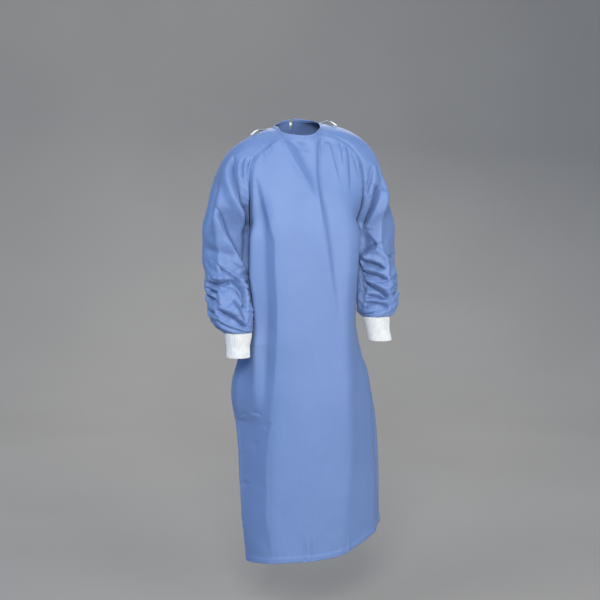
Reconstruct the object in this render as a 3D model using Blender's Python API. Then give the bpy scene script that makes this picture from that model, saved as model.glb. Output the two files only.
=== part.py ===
"""A surgical gown as it hangs when worn: a front, two back panels that lap at the centre back, raglan
sleeves gathered into knit cuffs, a bound neckline, neck ties and waist ties.

Metres, +Z up. The wearer faces -Y and the wearer's left is +X. The origin is the middle of the neck
opening at the height of its side points, where the shoulders carry the gown.

A level says how far down a row of points lies. On the body it is 0 at the neckline, 1 at the underarm
and 2 at the hem. On a sleeve it is 0 at the neckline, 1 at the underarm and 2 at the cuff seam.
Every surface here is the outer face of its cloth, whose thickness goes inwards.
"""

import bpy
import numpy as np

CLOTH = 0.0018  # thickness of the gown's cloth
KNIT = 0.0020  # thickness of the cuffs
TAPE = 0.0012  # thickness of the ties
BINDING = 0.0026  # thickness of the neck binding, which is folded cloth
SEAM_GAP = 0.0006  # between two sewn pieces
SIDES = {"left": 1, "right": -1}  # the wearer's
DENSE = 40  # points that half a row is worked out at before it is divided evenly

NECK_SHIFT = -0.008  # the neck opening sits a little to the wearer's right
NECK_LOW = 0.012  # and its lowest point a little to the wearer's left of its middle
SHOULDER_TILT = 0.10  # the wearer's left shoulder is the higher one: rise over width

# The yoke, from the neckline down to the underarm. Front and back are the centre lines, seam_f and
# seam_b the raglan seams, top the line along the shoulder and down the outer arm. The turns are the
# rows' headings in plan at the seam, in degrees from +X towards the back. A pull says how long a row
# keeps its heading.
YOKE_COLUMNS = (
    "level front_y front_z seam_x seam_f_y seam_f_z top_x top_z seam_b_y seam_b_z back_y back_z"
    " turn_body turn_sleeve pull_front pull_back pull_body pull_sleeve"
)
YOKE_ROWS = [
    (0.00, -0.078, -0.034, 0.054, -0.052, -0.020, 0.064, 0.000, 0.050,
     0.004, 0.070, 0.012, 48, 48, 0.06, 0.06, 0.06, 0.055),
    (0.12, -0.090, -0.060, 0.092, -0.061, -0.038, 0.098, -0.007, 0.063,
     -0.012, 0.084, -0.014, 36, 36, 0.11, 0.10, 0.09, 0.070),
    (0.25, -0.101, -0.092, 0.125, -0.069, -0.056, 0.146, -0.019, 0.075,
     -0.034, 0.098, -0.048, 28, 28, 0.15, 0.12, 0.12, 0.085),
    (0.40, -0.113, -0.130, 0.150, -0.078, -0.088, 0.193, -0.053, 0.087,
     -0.072, 0.110, -0.092, 22, 20, 0.20, 0.15, 0.14, 0.110),
    (0.60, -0.128, -0.180, 0.161, -0.088, -0.145, 0.229, -0.107, 0.096,
     -0.135, 0.120, -0.150, 22, 4, 0.27, 0.19, 0.16, 0.145),
    (0.80, -0.139, -0.232, 0.161, -0.082, -0.214, 0.257, -0.185, 0.084,
     -0.210, 0.125, -0.215, 40, -34, 0.36, 0.23, 0.19, 0.190),
    (0.91, -0.143, -0.259, 0.157, -0.052, -0.256, 0.268, -0.235, 0.053,
     -0.255, 0.126, -0.250, 64, -62, 0.46, 0.27, 0.24, 0.230),
]

# The body from the underarm down to the hem. The side seams' distances from the middle differ.
BODY_COLUMNS = (
    "level z front_y back_y side_left left_y side_right right_y turn_left turn_right"
    " pull_front pull_back pull_left pull_right"
)
BODY_ROWS = [
    (1.00, -0.285, -0.146, 0.127, 0.148, 0.000, 0.148, 0.000, 90, 90, 0.56, 0.30, 0.30, 0.30),
    (1.08, -0.350, -0.149, 0.130, 0.142, 0.000, 0.142, 0.000, 90, 90, 0.58, 0.34, 0.30, 0.30),
    (1.20, -0.450, -0.150, 0.134, 0.140, 0.002, 0.140, 0.002, 90, 90, 0.56, 0.36, 0.30, 0.30),
    (1.31, -0.550, -0.149, 0.142, 0.147, 0.005, 0.145, 0.003, 90, 90, 0.50, 0.36, 0.31, 0.30),
    (1.41, -0.640, -0.147, 0.150, 0.174, 0.010, 0.172, 0.002, 86, 90, 0.46, 0.34, 0.32, 0.29),
    (1.51, -0.730, -0.145, 0.153, 0.206, 0.015, 0.200, 0.000, 80, 92, 0.42, 0.33, 0.33, 0.27),
    (1.64, -0.850, -0.140, 0.151, 0.224, 0.020, 0.185, -0.004, 74, 94, 0.40, 0.33, 0.32, 0.24),
    (1.78, -0.985, -0.132, 0.148, 0.235, 0.022, 0.179, -0.008, 70, 96, 0.40, 0.33, 0.32, 0.21),
    (1.91, -1.112, -0.124, 0.146, 0.241, 0.024, 0.174, -0.012, 68, 98, 0.42, 0.33, 0.31, 0.18),
    (2.00, -1.222, -0.119, 0.144, 0.245, 0.026, 0.163, -0.016, 66, 99, 0.43, 0.33, 0.30, 0.15),
]
HEM_RISE = {"front": 0.0, "left": 0.054, "right": -0.014, "back": 0.046}  # the hem isn't level
RISE_FROM = 1.3  # the level where rows start to tilt towards the hem

# A sleeve from the underarm down to the cuff seam: the share of the way down, the middle of the ring,
# its half width and its half depth.
SLEEVE_COLUMNS = "level drop middle_x middle_y half_width half_depth"
SLEEVE_ROWS = [
    (1.00, 0.000, 0.2135, 0.0000, 0.0655, 0.067),
    (1.15, 0.150, 0.2145, -0.0040, 0.0665, 0.067),
    (1.30, 0.300, 0.2155, -0.0095, 0.0670, 0.067),
    (1.45, 0.450, 0.2145, -0.0190, 0.0635, 0.066),
    (1.60, 0.600, 0.2170, -0.0330, 0.0655, 0.068),
    (1.75, 0.750, 0.2160, -0.0500, 0.0650, 0.068),
    (1.86, 0.880, 0.2135, -0.0640, 0.0630, 0.066),
    (1.94, 0.975, 0.2075, -0.0755, 0.0550, 0.057),
    (2.00, 1.000, 0.1990, -0.0830, 0.0390, 0.041),
]
SLEEVE_END = {"left": -0.531, "right": -0.563}  # the wearer's left elbow is bent a little more
CUFF_LENGTH = 0.070
CUFF_TAPER = 0.82  # the cuff's end over its start
CUFF_LEAN = np.array((0.08, -0.36, -1.0))  # the way that the forearm points

# The back panels lap over each other. Lap is how far each goes past the centre back, part the distance
# between each and the mean surface, and flare how far the outer panel's free edge stands off.
LAP_COLUMNS = "level lap part flare"
LAP_ROWS = [
    (0.00, -0.005, 0.0000, 0.000),
    (0.12, -0.002, 0.0020, 0.000),
    (0.25, 0.014, 0.0024, 0.000),
    (0.60, 0.040, 0.0024, 0.000),
    (1.00, 0.070, 0.0024, 0.001),
    (1.31, 0.085, 0.0024, 0.003),
    (1.60, 0.098, 0.0026, 0.010),
    (2.00, 0.110, 0.0030, 0.022),
]
LAP_RAMP = 0.05  # along the row, from no offset to the full offset


def table(columns, rows):
    """A table with named columns: each name gives its column as an array."""
    return dict(zip(columns.split(), np.array(rows, float).T))


YOKE = table(YOKE_COLUMNS, YOKE_ROWS)
BODY = table(BODY_COLUMNS, BODY_ROWS)
SLEEVE = table(SLEEVE_COLUMNS, SLEEVE_ROWS)
LAP = table(LAP_COLUMNS, LAP_ROWS)


def smooth_step(x):
    x = np.clip(x, 0.0, 1.0)
    return x * x * (3 - 2 * x)


def hermite(start, start_pull, end, end_pull, w):
    """A cubic from start to end that leaves along start_pull and arrives along end_pull."""
    a = 2 * w**3 - 3 * w**2 + 1
    b = w**3 - 2 * w**2 + w
    c = -2 * w**3 + 3 * w**2
    d = w**3 - w**2
    return a * start + b * start_pull + c * end + d * end_pull


def at_level(levels, values, level, broken=False):
    """A column, or rows of vectors, at a level on a smooth curve through the table's rows. A broken
    curve turns a corner at the underarm, where level is 1."""
    if broken:
        here = levels <= 1 if level <= 1 else levels >= 1
        levels, values = levels[here], values[here]
    slopes = np.gradient(values, levels, axis=0)
    i = int(np.clip(np.searchsorted(levels, level) - 1, 0, len(levels) - 2))
    step = levels[i + 1] - levels[i]
    w = (level - levels[i]) / step
    return hermite(values[i], slopes[i] * step, values[i + 1], slopes[i + 1] * step, w)


def curve(start, start_pull, end, end_pull):
    w = np.linspace(0, 1, DENSE)[:, None]
    return hermite(start, start_pull, end, end_pull, w)


def heading(degrees, length, slope=0.0):
    """A pull of a given length, turned from +X towards the back, that climbs by slope."""
    angle = np.radians(degrees)
    return np.array((np.cos(angle), np.sin(angle), slope)) * length


def lengths(line):
    return np.concatenate([[0], np.cumsum(np.linalg.norm(np.diff(line, axis=0), axis=1))])


def spaced(line, fractions, gap_start=0.0, gap_end=0.0):
    """Points at these fractions of a line's length, which is first shortened by the gaps at its ends."""
    along = lengths(line)
    at = gap_start + np.asarray(fractions) * (along[-1] - gap_start - gap_end)
    return np.stack([np.interp(at, along, line[:, k]) for k in range(3)], axis=1)


def points_of(*columns):
    return np.stack(np.broadcast_arrays(*columns), axis=-1).astype(float)


def body_tracks(side):
    """The body's tables from neckline to hem, joined at the underarm, for one side."""
    rise = smooth_step((BODY["level"] - RISE_FROM) / (2 - RISE_FROM))
    z = BODY["z"]
    side_z = z + HEM_RISE[side] * rise
    side_points = points_of(BODY["side_" + side], BODY[side + "_y"], side_z)
    low = NECK_LOW * SIDES[side] * (1 - smooth_step(YOKE["level"] / 0.5))

    def joined(upper, lower):
        return np.concatenate([upper, lower])

    tracks = {"levels": joined(YOKE["level"], BODY["level"])}
    for which, name in (("f", "front"), ("b", "back")):
        middle = low if which == "f" else 0
        lower = points_of(0, BODY[name + "_y"], z + HEM_RISE[name] * rise)
        upper = points_of(middle, YOKE[name + "_y"], YOKE[name + "_z"])
        tracks["centre_" + which] = joined(upper, lower)
        seam = points_of(YOKE["seam_x"], YOKE[f"seam_{which}_y"], YOKE[f"seam_{which}_z"])
        tracks["seam_" + which] = joined(seam, side_points)
        tracks["pull_" + which] = joined(YOKE["pull_" + name], BODY["pull_" + name])
        reach = YOKE["top_x"] + abs(YOKE[name + "_y"])
        climb = (YOKE["top_z"] - YOKE[name + "_z"]) / reach * 1.2
        tracks["slope_" + which] = joined(climb, np.zeros(len(z)))
    tracks["turn_f"] = joined(YOKE["turn_body"], BODY["turn_" + side])
    tracks["turn_b"] = joined(-YOKE["turn_body"], BODY["turn_" + side] - 180)
    tracks["pull_seam"] = joined(YOKE["pull_body"], BODY["pull_" + side])
    return tracks


def sleeve_tracks(side):
    """A sleeve's tables from neckline to cuff seam, joined at the underarm."""
    underarm = BODY["z"][0]
    z = underarm + (SLEEVE_END[side] - underarm) * SLEEVE["drop"]
    inner = points_of(SLEEVE["middle_x"] - SLEEVE["half_width"], SLEEVE["middle_y"], z)
    outer = points_of(SLEEVE["middle_x"] + SLEEVE["half_width"], SLEEVE["middle_y"], z)
    outer[:, 2] += 0.010 * (1 - smooth_step((SLEEVE["level"] - 1) / 0.4))
    body = body_tracks(side)
    above = len(YOKE["level"])
    tracks = {"levels": np.concatenate([YOKE["level"], SLEEVE["level"]])}
    tracks["top"] = np.concatenate([points_of(YOKE["top_x"], 0, YOKE["top_z"]), outer])
    for which in "fb":
        tracks["seam_" + which] = np.concatenate([body["seam_" + which][:above], inner])
        tracks["slope_" + which] = np.concatenate([body["slope_" + which][:above], np.zeros(len(z))])
    tracks["turn"] = np.concatenate([YOKE["turn_sleeve"], np.full(len(z), -90)])
    tracks["pull"] = np.concatenate([YOKE["pull_sleeve"], 4 * SLEEVE["half_depth"]])
    return tracks


TRACKS = {side: (body_tracks(side), sleeve_tracks(side)) for side in SIDES}


def seam_step(side, which, level):
    """Half the seam's gap, from the body towards the sleeve."""
    body, sleeve = TRACKS[side]
    level = min(level, 1.0)
    seam = at_level(body["levels"], body["seam_" + which], level, broken=True)
    middle = at_level(body["levels"], body["centre_" + which], level)
    across = at_level(sleeve["levels"], sleeve["top"], level) - middle
    run = at_level(body["levels"], body["seam_" + which], min(level + 0.02, 1.0), broken=True)
    run = run - at_level(body["levels"], body["seam_" + which], max(min(level, 0.98) - 0.02, 0.0), broken=True)
    run /= np.linalg.norm(run)
    across -= across.dot(run) * run
    return seam, across / np.linalg.norm(across) * SEAM_GAP / 2


def placed(line, side, level):
    """A line made for the wearer's left, put on its own side, with the neck opening's sideways shift."""
    line = line * np.array((SIDES[side], 1, 1))
    fade = 1 - smooth_step(level)
    line[:, 2] += SHOULDER_TILT * fade * line[:, 0]
    return line + np.array((NECK_SHIFT * fade, 0, 0))


def half_row(which, side, level):
    """The body's row at a level, from the centre front or back to the seam on one side."""
    body = TRACKS[side][0]
    levels = body["levels"]
    seam = at_level(levels, body["seam_" + which], level, broken=True)
    if level < 1:
        seam = seam - seam_step(side, which, level)[1]
    turn = at_level(levels, body["turn_" + which], level, broken=True)
    slope = at_level(levels, body["slope_" + which], level)
    way = heading(turn, at_level(levels, body["pull_seam"], level), slope)
    middle = at_level(levels, body["centre_" + which], level)
    line = curve(middle, heading(0, at_level(levels, body["pull_" + which], level)), seam, way)
    return placed(line, side, level)


def sleeve_row(side, level):
    """A sleeve's row: from the front seam, out over the top of the arm and back to the back seam."""
    sleeve = TRACKS[side][1]
    levels = sleeve["levels"]
    top = at_level(levels, sleeve["top"], level)
    turn = at_level(levels, sleeve["turn"], level, broken=True)
    pull = at_level(levels, sleeve["pull"], level)
    halves = []
    for which in "fb":
        seam = at_level(levels, sleeve["seam_" + which], level, broken=True)
        if level < 1:
            seam = seam + seam_step(side, which, level)[1]
        else:
            seam = seam + np.array((SEAM_GAP / 2, 0, 0))
        slope = at_level(levels, sleeve["slope_" + which], level)
        sign = 1 if which == "f" else -1
        way = heading(sign * turn, pull, slope)
        halves.append(curve(seam, way, top, np.array((0, sign * pull, 0))))
    return placed(np.concatenate([halves[0], halves[1][::-1][1:]]), side, level)


def front_grid(levels, columns):
    """Rows of the front, each from the wearer's right seam to the left one."""
    rows = []
    for level in levels:
        right = half_row("f", "right", level)
        left = half_row("f", "left", level)
        line = np.concatenate([right[::-1], left[1:]])
        gap = SEAM_GAP / 2 * smooth_step((level - 0.98) / 0.02)
        rows.append(spaced(line, columns, gap, gap))
    return np.array(rows)


def back_grid(side, levels, columns):
    """Rows of one back panel, each from its seam to its free edge past the centre back."""
    other = "right" if side == "left" else "left"
    outer = 1 if side == "left" else -1
    rows = []
    for level in levels:
        near = half_row("b", side, level)
        far = half_row("b", other, level)
        line = np.concatenate([near[::-1], far[1:]])
        along = lengths(line)
        centre = along[DENSE - 1]
        lap, part, flare = (at_level(LAP["level"], LAP[name], level) for name in ("lap", "part", "flare"))
        gap = SEAM_GAP / 2 * smooth_step((level - 0.98) / 0.02)
        row = spaced(line, columns, gap, along[-1] - centre - lap)
        at = gap + np.asarray(columns) * (centre + lap - gap)
        way = np.gradient(row, axis=0)
        way[:, 2] = 0
        out = np.cross(way, (0, 0, 1)) * (1 if side == "left" else -1)
        out /= np.linalg.norm(out, axis=1)[:, None]
        out *= np.sign(out[-1, 1]) or 1
        # The offset is full where the other panel ends, and gone further out.
        ramp = smooth_step((at - (centre - lap - LAP_RAMP)) / LAP_RAMP)
        lift = outer * part * ramp
        if side == "left":
            lift = lift + flare * smooth_step((at - (centre - lap)) / (2 * max(lap, 0.01))) ** 1.5
        rows.append(row + out * lift[:, None])
    return np.array(rows)


def sleeve_grid(side, levels, columns):
    return np.array([spaced(sleeve_row(side, level), columns) for level in levels])


# Folds in the cloth, each along a path from a start to an end that bows sideways by bow at its middle.
# On the body, across is the distance from the middle towards the wearer's left and z the height. On a
# sleeve, across is the distance round the arm from its outer line, towards the front where it is
# positive. Wide is the half width and deep the depth of a trough, or the height of a ridge where it is
# negative. Fade is how much of the path it takes to come to its full depth, at the start and the end.
FOLD_COLUMNS = "across z across_end z_end bow wide deep fade fade_end"
FRONT_FOLDS = [
    (-0.068, -0.055, 0.010, -0.270, 0.016, 0.017, 0.0120, 0.15, 0.45),
    (0.028, -0.050, 0.070, -0.560, -0.020, 0.022, 0.0110, 0.10, 0.40),
    (0.000, -0.070, 0.020, -0.092, 0.004, 0.013, 0.0060, 0.30, 0.30),
    (0.066, -0.060, 0.088, -0.175, 0.006, 0.013, 0.0060, 0.25, 0.40),
    (0.104, -0.065, 0.108, -0.230, 0.008, 0.016, 0.0070, 0.25, 0.40),
    (-0.125, -0.120, -0.108, -0.420, 0.010, 0.024, 0.0110, 0.20, 0.10),
    (-0.108, -0.420, -0.112, -1.180, 0.004, 0.034, 0.0120, 0.10, 0.10),
    (0.100, -0.480, 0.112, -0.860, 0.004, 0.030, 0.0060, 0.30, 0.40),
    (-0.160, -0.640, -0.150, -1.200, 0.000, 0.022, -0.0070, 0.30, 0.10),
    (0.170, -0.560, 0.190, -1.200, 0.006, 0.030, 0.0080, 0.30, 0.10),
    (0.004, -1.060, 0.000, -1.210, 0.000, 0.018, 0.0050, 0.50, 0.01),
]
BACK_FOLDS = [
    (-0.030, -0.040, -0.060, -0.420, -0.012, 0.022, 0.0100, 0.20, 0.45),
    (0.046, -0.035, 0.078, -0.520, 0.014, 0.024, 0.0110, 0.20, 0.45),
    (0.100, -0.150, 0.104, -1.180, 0.010, 0.030, 0.0120, 0.30, 0.10),
    (-0.090, -0.130, -0.096, -0.390, -0.008, 0.022, 0.0080, 0.30, 0.50),
    (-0.112, -0.520, -0.122, -1.190, -0.008, 0.028, 0.0110, 0.30, 0.10),
    (0.150, -0.560, 0.170, -1.190, 0.004, 0.026, -0.0080, 0.30, 0.10),
    (-0.020, -0.620, -0.010, -1.190, 0.006, 0.030, 0.0080, 0.40, 0.10),
]
SLEEVE_LEFT_FOLDS = [
    (0.030, -0.150, 0.150, -0.300, -0.012, 0.016, 0.0110, 0.30, 0.25),
    (0.060, -0.365, 0.170, -0.330, 0.010, 0.013, 0.0110, 0.35, 0.20),
    (0.030, -0.405, 0.165, -0.375, -0.008, 0.013, 0.0100, 0.30, 0.25),
    (0.020, -0.445, 0.110, -0.500, 0.012, 0.013, 0.0110, 0.35, 0.30),
    (0.150, -0.420, 0.100, -0.455, 0.006, 0.012, 0.0100, 0.25, 0.40),
    (0.160, -0.500, 0.080, -0.485, 0.010, 0.012, 0.0090, 0.25, 0.40),
    (-0.060, -0.180, -0.160, -0.330, 0.012, 0.018, 0.0090, 0.30, 0.25),
    (-0.030, -0.390, -0.150, -0.370, 0.010, 0.014, 0.0090, 0.30, 0.25),
    (-0.040, -0.470, -0.150, -0.440, -0.010, 0.014, 0.0090, 0.30, 0.25),
]
SLEEVE_RIGHT_FOLDS = [
    (0.050, -0.120, 0.150, -0.310, 0.014, 0.016, 0.0110, 0.30, 0.25),
    (0.040, -0.250, 0.160, -0.440, -0.010, 0.015, 0.0110, 0.30, 0.20),
    (0.030, -0.455, 0.160, -0.480, 0.016, 0.014, 0.0120, 0.25, 0.25),
    (-0.010, -0.480, 0.070, -0.500, 0.006, 0.012, 0.0110, 0.35, 0.40),
    (0.110, -0.505, 0.155, -0.560, 0.006, 0.012, 0.0100, 0.30, 0.25),
    (0.040, -0.545, 0.140, -0.585, 0.006, 0.012, 0.0090, 0.30, 0.25),
    (-0.050, -0.190, -0.160, -0.350, 0.012, 0.018, 0.0090, 0.30, 0.25),
    (-0.040, -0.440, -0.150, -0.410, 0.010, 0.014, 0.0090, 0.30, 0.25),
    (-0.050, -0.520, -0.150, -0.490, -0.010, 0.014, 0.0090, 0.30, 0.25),
]
FOLD_STEPS = 24  # points along a fold's path


def fold_depth(across, z, rows):
    """How far the cloth moves in at each point, from the folds near it."""
    folds = table(FOLD_COLUMNS, rows)
    depth = np.zeros(np.shape(z))
    w = np.linspace(0, 1, FOLD_STEPS)
    for k in range(len(rows)):
        start = np.array((folds["across"][k], folds["z"][k]))
        end = np.array((folds["across_end"][k], folds["z_end"][k]))
        side = np.array((start[1] - end[1], end[0] - start[0])) / np.linalg.norm(end - start)
        path = start + (end - start) * w[:, None] + side * (4 * folds["bow"][k] * w * (1 - w))[:, None]
        away = np.hypot(across[..., None] - path[:, 0], z[..., None] - path[:, 1])
        near = away.argmin(axis=-1)
        at = w[near]
        fade = smooth_step(at / folds["fade"][k]) * smooth_step((1 - at) / folds["fade_end"][k])
        reach = away.min(axis=-1) / folds["wide"][k]
        # A trough with a soft ridge on both sides of it.
        profile = (1 - 0.45 * reach**2) * np.exp(-0.5 * reach**2)
        depth += folds["deep"][k] * fade * profile
    return depth


def grid_index(shape, closed_from=None):
    """A grid's point numbers. From the row closed_from on, its first and last columns are one."""
    index = np.arange(shape[0] * shape[1]).reshape(shape[:2])
    if closed_from is not None:
        index[closed_from:, -1] = index[closed_from:, 0]
    return index


def grid_faces(index, flip=False):
    """Quads of a grid of point numbers. Rows that run down and columns that run to the wearer's left
    face the front, and flip turns them round."""
    a, b = index[:-1, :-1], index[:-1, 1:]
    c, d = index[1:, 1:], index[1:, :-1]
    faces = np.stack([a, d, c, b], axis=-1).reshape(-1, 4)
    return faces[:, ::-1] if flip else faces


def normals_of(points, faces):
    """Unit normals at the points of quads, with each quad's weight its area."""
    corners = points[faces]
    face = np.cross(corners[:, 2] - corners[:, 0], corners[:, 3] - corners[:, 1])
    normals = np.zeros_like(points)
    for k in range(4):
        np.add.at(normals, faces[:, k], face)
    return normals / np.maximum(np.linalg.norm(normals, axis=1), 1e-12)[:, None]


def grid_normals(grid, closed_from=None, flip=False):
    index = grid_index(grid.shape, closed_from)
    return normals_of(grid.reshape(-1, 3), grid_faces(index, flip))[index]


def folded(grid, rows, across, keep, closed_from=None, flip=False):
    """The grid with its folds pressed in along its own normals, as far as keep lets them, 0 to 1."""
    depth = fold_depth(across, grid[..., 2], rows) * keep
    return grid - grid_normals(grid, closed_from, flip) * depth[..., None]


def edge_keep(grid, levels, start, end, top=0.10, bottom=None):
    """1 inside a panel and 0 at its sewn edges: over start and end metres along each row, over the
    levels from 0 to top and, where bottom is given, over the last levels up to 2."""
    step = np.linalg.norm(np.diff(grid, axis=1), axis=2)
    along = np.concatenate([np.zeros((len(grid), 1)), np.cumsum(step, axis=1)], axis=1)
    keep = np.ones(grid.shape[:2])
    if start:
        keep *= smooth_step(along / start)
    if end:
        keep *= smooth_step((along[:, -1:] - along) / end)
    level = np.asarray(levels)[:, None]
    if top:
        keep *= smooth_step(level / top)
    if bottom:
        keep *= smooth_step((2 - level) / bottom)
    return keep


def compact(points, faces):
    used, faces_new = np.unique(faces, return_inverse=True)
    return points[used], faces_new.reshape(-1, 4)


def solid(points, faces, thickness):
    """The outer face, an inner face one thickness in, and walls round its open edges."""
    inner = points - normals_of(points, faces) * thickness
    count = len(points)
    edges = np.concatenate([faces[:, [k, (k + 1) % 4]] for k in range(4)])
    keys = np.sort(edges, axis=1)
    _, first, times = np.unique(keys, axis=0, return_index=True, return_counts=True)
    rim = edges[first[times == 1]]
    walls = np.stack([rim[:, 1], rim[:, 0], rim[:, 0] + count, rim[:, 1] + count], axis=1)
    return np.concatenate([points, inner]), np.concatenate([faces, faces[:, ::-1] + count, walls])


SEAM_REACH = 0.030  # how far from a seam the folds come to their full depth


def front_panel(levels, columns):
    grid = front_grid(levels, columns)
    keep = edge_keep(grid, levels, SEAM_REACH, SEAM_REACH)
    return folded(grid, FRONT_FOLDS, grid[..., 0], keep)


def back_panel(side, levels, columns):
    grid = back_grid(side, levels, columns)
    keep = edge_keep(grid, levels, SEAM_REACH, 0)
    return folded(grid, BACK_FOLDS, grid[..., 0], keep, flip=side == "right")


def sleeve_panel(side, levels, columns):
    grid = sleeve_grid(side, levels, columns)
    row_length = np.linalg.norm(np.diff(grid, axis=1), axis=2).sum(axis=1)
    across = (0.5 - np.asarray(columns)) * row_length[:, None]
    keep = edge_keep(grid, levels, SEAM_REACH, SEAM_REACH, bottom=0.12)
    rows = SLEEVE_LEFT_FOLDS if side == "left" else SLEEVE_RIGHT_FOLDS
    return folded(grid, rows, across, keep, closed_from=list(levels).index(1.0), flip=side == "right")


def cuff_grid(side, steps, columns):
    """Rings from the sleeve's end along the forearm."""
    ring = spaced(sleeve_row(side, 2.0), columns)
    middle = (ring.min(axis=0) + ring.max(axis=0)) / 2
    lean = CUFF_LEAN * np.array((SIDES[side], 1, 1))
    lean /= np.linalg.norm(lean)
    rows = []
    for w in np.linspace(0, 1, steps):
        size = 0.97 + (CUFF_TAPER - 0.97) * smooth_step(w * 1.6)
        rows.append(middle + (ring - middle) * size + lean * (SEAM_GAP + CUFF_LENGTH * w))
    return np.array(rows)


BINDING_HEIGHT = 0.009
BINDING_LEAN = (20.0, 40.0)  # degrees from upright, at the front and, on top of it, at the sides


def neckline():
    """The neck edge from the wearer's right back free edge round the front to the left one."""
    ends = np.linspace(0, 1, 12)
    right = back_grid("right", [0.0], ends)[0][::-1]
    left = back_grid("left", [0.0], ends)[0]
    front = front_grid([0.0], np.linspace(0, 1, 24))[0]
    arms = {side: sleeve_grid(side, [0.0], ends)[0] for side in SIDES}
    return np.concatenate([right, arms["right"][::-1], front, arms["left"], left])


def binding_grid(steps, columns):
    line = spaced(neckline(), columns)
    middle = np.array((NECK_SHIFT, 0, 0))
    out = (line - middle) * (1, 1, 0)
    out /= np.linalg.norm(out, axis=1)[:, None]
    lean = np.radians(BINDING_LEAN[0] + BINDING_LEAN[1] * out[:, :1] ** 2)
    up = np.array((0, 0, 1)) * np.cos(lean) - out * np.sin(lean)
    face = out * np.cos(lean) + np.array((0, 0, 1)) * np.sin(lean)
    rows = [
        line + up * (SEAM_GAP + BINDING_HEIGHT * w) + face * (BINDING - CLOTH) / 2
        for w in np.linspace(1, 0, steps)
    ]
    return np.array(rows)


NECK_TIE = 0.009  # a neck tie's width
WAIST_TIE = 0.012  # a waist tie's width
TIE_CLEAR = 0.0007  # between a tie's inner face and the cloth that it lies on
# A neck tie's path over the wearer's left shoulder, from the knot at the centre back: the level, the
# share of the row from the centre back round to the shoulder's top, and how far it stands off the cloth.
NECK_TIE_COLUMNS = "level share lift"
NECK_TIE_ROWS = {
    "left": [
        (0.052, 0.00, 0.0045),
        (0.062, 0.28, 0.0006),
        (0.066, 0.52, 0.0010),
        (0.078, 0.68, 0.0060),
        (0.100, 0.82, 0.0100),
        (0.128, 0.95, 0.0080),
        (0.150, 1.06, 0.0010),
    ],
    "right": [
        (0.052, 0.00, 0.0045),
        (0.062, 0.28, 0.0006),
        (0.074, 0.54, 0.0012),
        (0.098, 0.74, 0.0040),
        (0.130, 0.88, 0.0070),
        (0.170, 0.97, 0.0070),
        (0.215, 1.02, 0.0010),
    ],
}


def yoke_back_row(side, level):
    """A row from the centre back over the back and the shoulder as far as the front raglan seam."""
    back = half_row("b", side, level)
    arm = sleeve_row(side, level)[::-1]
    return np.concatenate([back, arm]), len(back) + DENSE


def neck_tie_path(side):
    """Points of the tie's middle and the directions that its face looks in."""
    rows = table(NECK_TIE_COLUMNS, NECK_TIE_ROWS[side])
    steps = np.linspace(0, len(rows["level"]) - 1, 3 * len(rows["level"]) - 2)
    order = np.arange(len(rows["level"]))
    points, outs = [], []
    for step in steps:
        level, share, lift = (at_level(order, rows[name], step) for name in NECK_TIE_COLUMNS.split())
        spots = []
        for lev in (level - 0.02, level, level + 0.02):
            line, top = yoke_back_row(side, lev)
            along = lengths(line)
            at = max(share * along[top], KNOT[0] + SEAM_GAP)
            near = [[np.interp(at + d, along, line[:, k]) for k in range(3)] for d in (-0.004, 0, 0.004)]
            spots.append(near)
        spots = np.array(spots)
        out = np.cross(spots[2, 1] - spots[0, 1], spots[1, 2] - spots[1, 0]) * -SIDES[side]
        out /= np.linalg.norm(out)
        outs.append(out)
        points.append(spots[1, 1] + out * (lift + TIE_CLEAR + TAPE))
    return np.array(points), np.array(outs)


def tape_grid(points, outs, width):
    """A flat tape along a path: rows along it, with the first column on the wearer's higher side."""
    run = np.gradient(points, axis=0)
    across = np.cross(run, outs)
    across /= np.linalg.norm(across, axis=1)[:, None]
    return np.stack([points - across * width / 2, points, points + across * width / 2], axis=1)


WAIST_LEVEL = 1.17
KNOT = (0.009, 0.0052, 0.0072)  # half its length along the ties, its depth and its height
KNOT_CLEAR = 0.0007  # between a knot and the cloth that it lies on
WAIST_KNOT = 0.375  # its share of the wearer's right back, from the side seam to the free edge
# The waist ties' paths on the wearer's right back: the share of its row, how far below the waist level
# and how far off the cloth. The left tie starts at the outer panel's free edge, the right one at the
# side seam, and the ends hang from the knot.
WAIST_COLUMNS = "share down lift"
WAIST_ROWS = {
    "left": [
        (0.479, -0.012, 0.0026),
        (0.458, -0.009, 0.0030),
        (0.436, -0.004, 0.0040),
        (0.4040, 0.000, 0.0046),
    ],
    "right": [
        (0.012, -0.014, 0.0006),
        (0.080, -0.012, 0.0004),
        (0.160, -0.009, 0.0004),
        (0.240, -0.006, 0.0008),
        (0.300, -0.003, 0.0024),
        (0.3464, 0.000, 0.0046),
    ],
    "end_left": [
        (0.386, 0.0087, 0.0036),
        (0.402, 0.055, 0.0012),
        (0.396, 0.105, 0.0006),
        (0.406, 0.155, 0.0012),
        (0.420, 0.205, 0.0020),
        (0.424, 0.255, 0.0012),
    ],
    "end_right": [
        (0.362, 0.0087, 0.0052),
        (0.338, 0.060, 0.0020),
        (0.330, 0.115, 0.0006),
        (0.334, 0.170, 0.0012),
        (0.324, 0.225, 0.0014),
    ],
}


def back_spot(level, share, lift):
    """A point lift off the wearer's right back at a share of its row, and its outward way."""
    columns = np.array((0, share - 0.01, share, share + 0.01, 1))
    low, mid, high = back_grid("right", [level - 0.02, level, level + 0.02], columns)
    out = np.cross(mid[3] - mid[1], high[2] - low[2])
    out *= np.sign(out[1]) / np.linalg.norm(out)
    depth = fold_depth(mid[2:3, 0], mid[2:3, 2], BACK_FOLDS)
    sunk = depth[0] * smooth_step(share * lengths(mid)[-1] / SEAM_REACH)
    return mid[2] + out * (lift - sunk), out


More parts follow.
